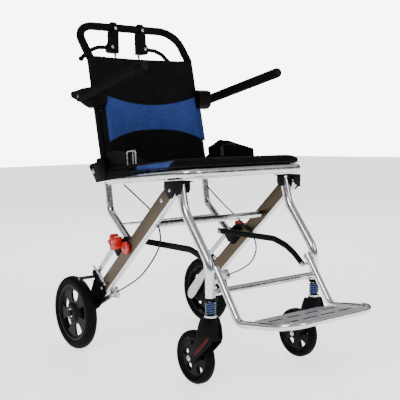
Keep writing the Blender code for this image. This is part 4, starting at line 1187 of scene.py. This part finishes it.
def lock_knob(side, sign):
    """Five-lobed knob with a sunk middle, and the round collar beside it."""
    centre, collar = on_leg(0.2650, 0.0440), (-0.2230, 0.2975)
    middle, depth, sides = 0.0186, 0.0036, 60
    bm = bmesh.new()

    def ring(x, radii):
        return [bm.verts.new(at(sign * x, (centre[0] + r * u, centre[1] + r * v)))
                for r, (u, v) in zip(radii, circle(1.0, sides))]

    lobes = [math.cos(5 * 2 * math.pi * k / sides) for k in range(sides)]
    rings = [ring(x, [(middle + depth * lobe * abs(lobe) ** 0.3) * s for lobe in lobes])
             for x, s in ((0.1988, 0.70), (0.2003, 0.98), (0.2160, 1.0), (0.2208, 0.93),
                          (0.2230, 0.74))]
    rings += [ring(0.2230, [0.0070] * sides), ring(0.2202, [0.0062] * sides)]
    skin_and_caps(bm, rings)
    piece("knob_" + side, bm, "red", "knob_" + side, "lock_knob_" + side, "knob_red")
    made("knob_collar_" + side, "red", "slide_block_" + side,
         (lathe_into, ((0, 0.0030), (0, 0.0150), (0.0010, 0.0160), (0.0060, 0.0160),
                       (0.0075, 0.0146), (0.0075, 0.0030)),
          across(sign * 0.1988, collar, sign)))
    bolt("knob_bolt_" + side, at(sign * 0.2202, centre), (sign, 0, 0), 0.0032, 0.0016,
         "knob_" + side)


def linkage():
    route = ((-0.179, 0.307), (-0.405, 0.3055), (-0.450, 0.2920), (-0.480, 0.2740), LINK_FRONT)
    for side, sign in SIDES:
        reach = sign * 0.1365
        path = fillet([at(reach, p) for p in route], [0, 0.060, 0.060, 0.060, 0])
        made("link_" + side, "black_paint", "link_" + side,
             (sweep_into, path, rounded_box(0.0080, 0.0026, 0.0020, 3), (1, 0, 0)),
             replaces="link_bar_" + side, slot="black_paint")
        for label, spot, face in (("0_in", LINK_REAR, -sign), ("0_out", LINK_REAR, sign),
                                  ("1_out", LINK_FRONT, sign)):
            bolt("link_bolt_%s_%s" % (side, label), at(reach + face * 0.0026, spot),
                 (face, 0, 0), 0.0036, 0.0018, "link_" + side)
        carriage(side, sign)
        for node, key in (("brake_arm_", "steel"), ("parking_lever_", "lever"),
                          ("hub_bracket_", "black_plastic")):
            paint(node + side, key)
        lock_knob(side, sign)


def seat_castings():
    top, hip = 0.4712, HIP[0]
    shield = [(hip + a, b) for a, b in (
        (-0.0225, top), (0.0215, top), (0.0225, 0.4530), (0.0100, 0.4345), (0.0050, 0.4310),
        (-0.0050, 0.4310), (-0.0110, 0.4345), (-0.0235, 0.4530))]
    cheek = [(hip + a, b) for a, b in ((-0.012, top), (0.012, top), (0.012, 0.4500),
                                       (0.006, 0.4420), (-0.006, 0.4420), (-0.012, 0.4500))]
    roof = [(hip + a, b) for a, b in ((-0.0225, top - 0.0026), (0.0200, top - 0.0026),
                                      (0.0200, top), (-0.0225, top))]
    front = ((0.1780, top), (0.2016, top), (0.2016, 0.4390), (0.1960, 0.4380), (0.1860, 0.4450),
             (0.1795, 0.4560))
    ear = ((-0.114, 0.4772), (-0.086, 0.4752), (-0.0885, 0.512), (-0.0918, 0.519),
           (-0.100, 0.5222), (-0.108, 0.519), (-0.1115, 0.512))
    casting = ((-0.0560, 0.4975), (-0.0640, 0.5060), (-0.0925, 0.5105), (-0.1160, 0.5180),
               (-0.1290, 0.5150), (-0.1390, 0.4860), (-0.1385, 0.4730), (-0.1310, 0.4645),
               (-0.0970, 0.4625), (-0.0800, 0.4715))
    for side, sign in SIDES:
        made("hood_" + side, "grey_plastic", "seat",
             (slab_into, shield, sign * 0.1990, sign * 0.2024, 0.0010),
             (slab_into, cheek, sign * 0.1500, sign * 0.1555, 0.0010),
             (slab_into, roof, sign * 0.1500, sign * 0.2010),
             (prism_into, front, lambda u, v, w: at(sign * u, (hip - 0.0230 + 0.0026 * w, v)),
              0.0008),
             (pin_into, sign * 0.1510, sign * 0.2015, HIP, 0.0045),
             replaces="pivot_housing_" + side, slot="grey_plastic", smooth_angle=35)
        made("corner_casting_" + side, "black_plastic", "seat",
             (slab_into, casting, sign * 0.2003, sign * 0.2046, 0.0012),
             (slab_into, ear, sign * 0.1850, sign * 0.2015, 0.0010),
             (pin_into, sign * 0.1775, sign * 0.2020, BACK_HINGE, 0.0042),
             (pin_into, sign * 0.1535, sign * 0.2020, STRUT_TOP, 0.0042),
             replaces="rear_bracket_" + side, slot="black_plastic", smooth_angle=35)
        bolt("hip_bolt_" + side, at(sign * 0.2022, HIP), (sign, 0, 0), 0.0030, 0.0012, "seat")
        bolt("hinge_bolt_" + side, at(sign * 0.2045, (-0.0785, 0.4865)), (sign, 0, 0), 0.0050,
             0.0028, "seat")
    paint("seat_sling", "sling")


def casters():
    low, high, coil, wire, turns, steps = 0.1745, 0.2010, 0.0104, 0.0021, 5, 24
    arm = ((-0.500, 0.164), (-0.526, 0.164), (-0.534, 0.146), (-0.537, 0.122), (-0.532, 0.108),
           (-0.512, 0.090), (-0.488, 0.070), (-0.465, 0.0525), (-0.4540, 0.0525),
           (-0.4465, 0.0620), (-0.4500, 0.0730), (-0.4700, 0.0940), (-0.4850, 0.1200),
           (-0.4930, 0.1480))
    bridge = ((-0.5320, 0.1140), (-0.5040, 0.1140), (-0.5010, 0.1560), (-0.5300, 0.1560))
    crown = ((0, 0.0045), (0, 0.0150), (0.028, 0.0160), (0.0310, 0.0150), (0.0310, 0.0045))
    cup = ((0, 0.0084), (0, 0.0138), (0.0016, 0.0142), (0.0040, 0.0142), (0.0050, 0.0130),
           (0.0050, 0.0084))
    strip = ((-0.5330, 0.1215), (-0.5270, 0.1250), (-0.4880, 0.0900), (-0.4760, 0.0740),
             (-0.4800, 0.0720), (-0.4960, 0.0850))
    for side, sign in SIDES:
        x, stem, fork = sign * FRONT_X, "stem_" + side, "fork_" + side
        paint("caster_stem_" + side, "steel")
        path = []
        for k in range(turns * steps + 1):
            angle = 2 * math.pi * k / steps
            height = low + (high - low) * k / (turns * steps)
            path.append(at(x + coil * math.cos(angle), (STEM_Y + coil * math.sin(angle), height)))
        spring = tube("spring_" + side, path, wire, "blue_spring", stem,
                      "caster_spring_" + side, 10, (0, 0, 1), "spring_blue")
        sleeve = made("spring_sleeve_" + side, "black_plastic", stem,
                      (lathe_into, ((0, 0.0065), (0, 0.0082), (0.030, 0.0082), (0.030, 0.0065)),
                       upright(x, STEM_Y, 0.1715), 28))
        for obj in (spring, sleeve):
            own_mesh(obj)
        made("spring_seat_" + side, "steel", stem,
             (lathe_into, cup, upright(x, STEM_Y, 0.1668), 32))
        made("fork_body_" + side, "black_plastic", fork,
             (slab_into, arm, x - 0.0185, x - 0.0145, 0.0014),
             (slab_into, arm, x + 0.0145, x + 0.0185, 0.0014),
             (slab_into, bridge, x - 0.0165, x + 0.0165, 0.0030),
             (lathe_into, crown, upright(x, STEM_Y, 0.1345), 32),
             replaces="caster_fork_" + side, slot="black_plastic", smooth_angle=35)
        for out in (1, -1):
            label = side + ("_out" if out * sign > 0 else "_in")
            made("reflector_" + label, "reflector", fork,
                 (slab_into, strip, x + out * 0.0186, x + out * 0.0194, 0.0003, 1))
            bolt("caster_bolt_" + label, at(x + out * 0.0204, CASTER_HUB), (out, 0, 0), 0.0046,
                 0.0022, fork)
        caster_wheel(side, x)


def window_cut(obj, outlines, x):
    for outline in outlines:
        cutter = made("cutter", (), None, (slab_into, outline, x - 0.02, x + 0.02))
        modifier = obj.modifiers.new("cut", "BOOLEAN")
        modifier.operation, modifier.solver, modifier.object = "DIFFERENCE", "EXACT", cutter
        apply_modifiers(obj)
        bpy.data.objects.remove(cutter, do_unlink=True)
    obj.data.shade_smooth()
    obj.data.set_sharp_from_angle(angle=math.radians(32))


def round_window(centre, middle, inner, outer, spread_in, spread_out, steps=7, corner=0.0045):
    """Window between two radii with rounded corners, as a smooth closed outline."""
    corners = []
    for radius, spread in ((outer, spread_out), (inner, -spread_in)):
        for i in range(steps):
            angle = middle + spread * (i / (steps - 1) - 0.5)
            corners.append(Vector((radius * math.cos(angle), radius * math.sin(angle), 0)))
    rounded = []
    count = len(corners)
    for i, p in enumerate(corners):
        if i in (0, steps - 1, steps, count - 1):
            a, b = corners[i - 1], corners[(i + 1) % count]
            start = p + (a - p).normalized() * min(corner, (a - p).length * 0.95)
            end = p + (b - p).normalized() * min(corner, (b - p).length * 0.95)
            for k in range(5):
                t = k / 4
                rounded.append(start.lerp(p, t).lerp(p.lerp(end, t), t))
        else:
            rounded.append(p)
    return [(centre[0] + p.x, centre[1] + p.y) for p in rounded]


def both_ways(half, crest):
    """Profile of a wheel from its half, its crest and the half turned over."""
    return list(half) + [(0.0, crest)] + [(-a, r) for a, r in reversed(half)]


def caster_wheel(side, x):
    half = ((-0.0100, 0.0045), (-0.0104, 0.0130), (-0.0088, 0.0150), (-0.0056, 0.0168),
            (-0.0052, 0.0430), (-0.0085, 0.0465), (-0.0105, 0.0490), (-0.0085, 0.0495),
            (-0.0120, 0.0520), (-0.0120, 0.0562), (-0.0104, 0.0598), (-0.0062, 0.0624))
    obj = made("caster_wheel_body_" + side, "tyre", None,
               (lathe_into, both_ways(half, 0.063), across(x, CASTER_HUB), 64))
    window_cut(obj, [round_window(CASTER_HUB, math.radians(90 + 72 * k), 0.0215, 0.0400,
                                  math.radians(26), math.radians(36)) for k in range(5)], x)
    obj.data.materials.clear()
    for key in ("tyre", "rim"):
        obj.data.materials.append(M[key])
    for face in obj.data.polygons:
        c = face.center
        radius = math.hypot(c.y - AXLE_Y - CASTER_HUB[0], c.z - CASTER_HUB[1])
        face.material_index = 1 if radius < 0.0492 else 0
    settle(obj, "front_wheel_" + side, "caster_wheel_" + side, "rubber")


def rear_wheels():
    hub = (0.0, 0.100)
    rim = ((-0.0135, 0.0054), (-0.0135, 0.0205), (-0.0118, 0.0225), (0.0000, 0.0250),
           (0.0004, 0.0665), (-0.0060, 0.0685), (-0.0112, 0.0700), (-0.0115, 0.0770),
           (0.0115, 0.0770), (0.0112, 0.0700), (0.0090, 0.0685), (0.0062, 0.0660),
           (0.0066, 0.0290), (0.0105, 0.0245), (0.0138, 0.0220), (0.0148, 0.0180),
           (0.0148, 0.0120), (0.0120, 0.0112), (0.0120, 0.0054))
    tread = ((-0.0120, 0.0773), (-0.0138, 0.0800), (-0.0145, 0.0840), (-0.0145, 0.0890),
             (-0.0136, 0.0930), (-0.0112, 0.0962), (-0.0074, 0.0986), (-0.0030, 0.0998))
    for side, sign in SIDES:
        x, body = sign * 0.228, "wheel_" + side
        obj = made("rear_rim_" + side, "rim", None, (lathe_into, rim, across(x, hub, sign), 80))
        window_cut(obj, [round_window(hub, math.radians(28 + 72 * k), 0.0330, 0.0630,
                                      math.radians(38), math.radians(36), corner=0.0100)
                         for k in range(5)], x)
        settle(obj, body, "rear_wheel_" + side, "rim_plastic")
        made("rear_tyre_body_" + side, "tyre", body,
             (lathe_into, both_ways(tread, 0.1000), across(x, hub), 96),
             replaces="rear_tyre_" + side, slot="rubber", smooth_angle=60)
        for radius, edge in ((0.0795, 0.0139), (0.0880, 0.0144)):
            made("tyre_line_%s_%d" % (side, int(radius * 10000)), "tyre", body,
                 *[(sweep_into, [at(x + face * edge, (u, 0.1 + v))
                                 for u, v in circle(radius, 96)],
                    circle(0.0006, 6), (1, 0, 0), True) for face in (-1, 1)])
        bolt("axle_nut_" + side, at(sign * 0.2425, hub), (sign, 0, 0), 0.0085, 0.0052, body)


def standing_band(name, stations, replaces):
    """Webbing on edge: stations give (x, forward, lower edge, upper edge)."""
    half_thickness = 0.0008
    points = smooth_route([Vector(s[:3]) for s in stations], 0.005)
    crests = smooth_route([Vector((s[0], s[1], s[3])) for s in stations], 0.005)
    count = min(len(points), len(crests))
    low, high = [[line[round(i * (len(line) - 1) / (count - 1))] for i in range(count)]
                 for line in (points, crests)]
    bm = bmesh.new()
    rings = []
    profile = ((0.0, 0.5), (0.04, 1.2), (0.09, 1.0), (0.5, 1.0), (0.91, 1.0), (0.96, 1.2),
               (1.0, 0.5), (1.0, -0.5), (0.96, -1.2), (0.91, -1.0), (0.5, -1.0), (0.09, -1.0),
               (0.04, -1.2), (0.0, -0.5))
    for i in range(count):
        a, b = low[max(0, i - 1)], low[min(count - 1, i + 1)]
        side = Vector((b.y - a.y, a.x - b.x)).normalized() * half_thickness
        ring = []
        for t, h in profile:
            p = low[i].lerp(high[i], t)
            sway = 0.0012 * math.sin(p.y * 60) * t
            ring.append(bm.verts.new(at(p.x + side.x * h + sway,
                                        on_seat(p.y + side.y * h, p.z))))
        rings.append(ring)
    skin_and_caps(bm, rings)
    return piece(name, bm, "webbing", "seat", replaces, "webbing", 30)


def lap_belt():
    """Two bands standing on the pad's edges, with a buckle and a ladder lock."""
    far_x, near_x, lock_x = 0.172, -0.172, -0.1735
    far = standing_band("belt_left", (
        (0.1720, -0.005, 0.040, 0.080), (0.1720, 0.020, 0.041, 0.088),
        (0.1720, 0.049, 0.041, 0.0975), (0.1720, 0.070, 0.041, 0.094),
        (0.1715, 0.089, 0.040, 0.092), (0.1710, 0.135, 0.037, 0.078),
        (0.1710, 0.165, 0.036, 0.070), (0.1700, 0.192, 0.036, 0.0625),
        (0.1675, 0.1965, 0.036, 0.0610), (0.1650, 0.192, 0.036, 0.0620),
        (0.1645, 0.165, 0.036, 0.0670), (0.1640, 0.143, 0.037, 0.0700)), "belt_strap_left")
    near = standing_band("belt_right", (
        (-0.1720, -0.005, 0.036, 0.075), (-0.1720, 0.030, 0.036, 0.075),
        (-0.1710, 0.070, 0.035, 0.071), (-0.1690, 0.100, 0.034, 0.065),
        (-0.1665, 0.130, 0.033, 0.055), (-0.1640, 0.150, 0.033, 0.046),
        (-0.1620, 0.166, 0.033, 0.038)), "belt_strap_right")
    buckle = made("buckle_body", "grey_plastic", "seat",
                  (prism_into, rounded_box(0.0300, 0.0180, 0.0055, 4),
                   lambda u, v, w: at(0.1580 + 0.0118 * w, on_seat(0.0990 + u, 0.0630 + v)),
                   0.0022, 3), replaces="belt_buckle", slot="grey_plastic")
    soft = [(far, far_x), (near, near_x), (buckle, far_x)]
    for number, d in enumerate((0.0715, 0.0785)):
        line = made("buckle_line_%d" % number, "light_grey", "seat",
                    (prism_into, rounded_box(0.0012, 0.0135, 0.0010, 3),
                     lambda u, v, w: at(0.1572 + 0.0014 * w, on_seat(d + u, 0.0630 + v)),
                     0.0003, 1))
        soft.append((line, far_x))
    outline = [at(lock_x, on_seat(0.1150 + a, 0.0505 + b))
               for a, b in rounded_box(0.0190, 0.0185, 0.0050, 4)]
    bar = [at(lock_x, on_seat(0.1220, up)) for up in (0.0690, 0.0320)]
    soft.append((made("ladder_lock", "steel", "seat",
                      (sweep_into, outline, circle(0.0020, 10), (1, 0, 0), True),
                      (sweep_into, bar, circle(0.0017, 10), (1, 0, 0))), near_x))
    for obj, x in soft:
        tuple(at(x, on_seat(0.1, 0.035)))
        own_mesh(obj)


def build():
    make_camera()
    make_stage()
    M.update(make_materials())
    seat_rail()
    seat_pad()
    seat_wrap()
    back_upholstery()
    back_tubes()
    hand_brakes()
    cables()
    armrests()
    rear_legs()
    front_legs()
    footrest()
    struts()
    for name in ("front_cross_tube", "rear_cross_tube"):
        paint(name, "chrome")
    linkage()
    seat_castings()
    casters()
    rear_wheels()
    lap_belt()


build()
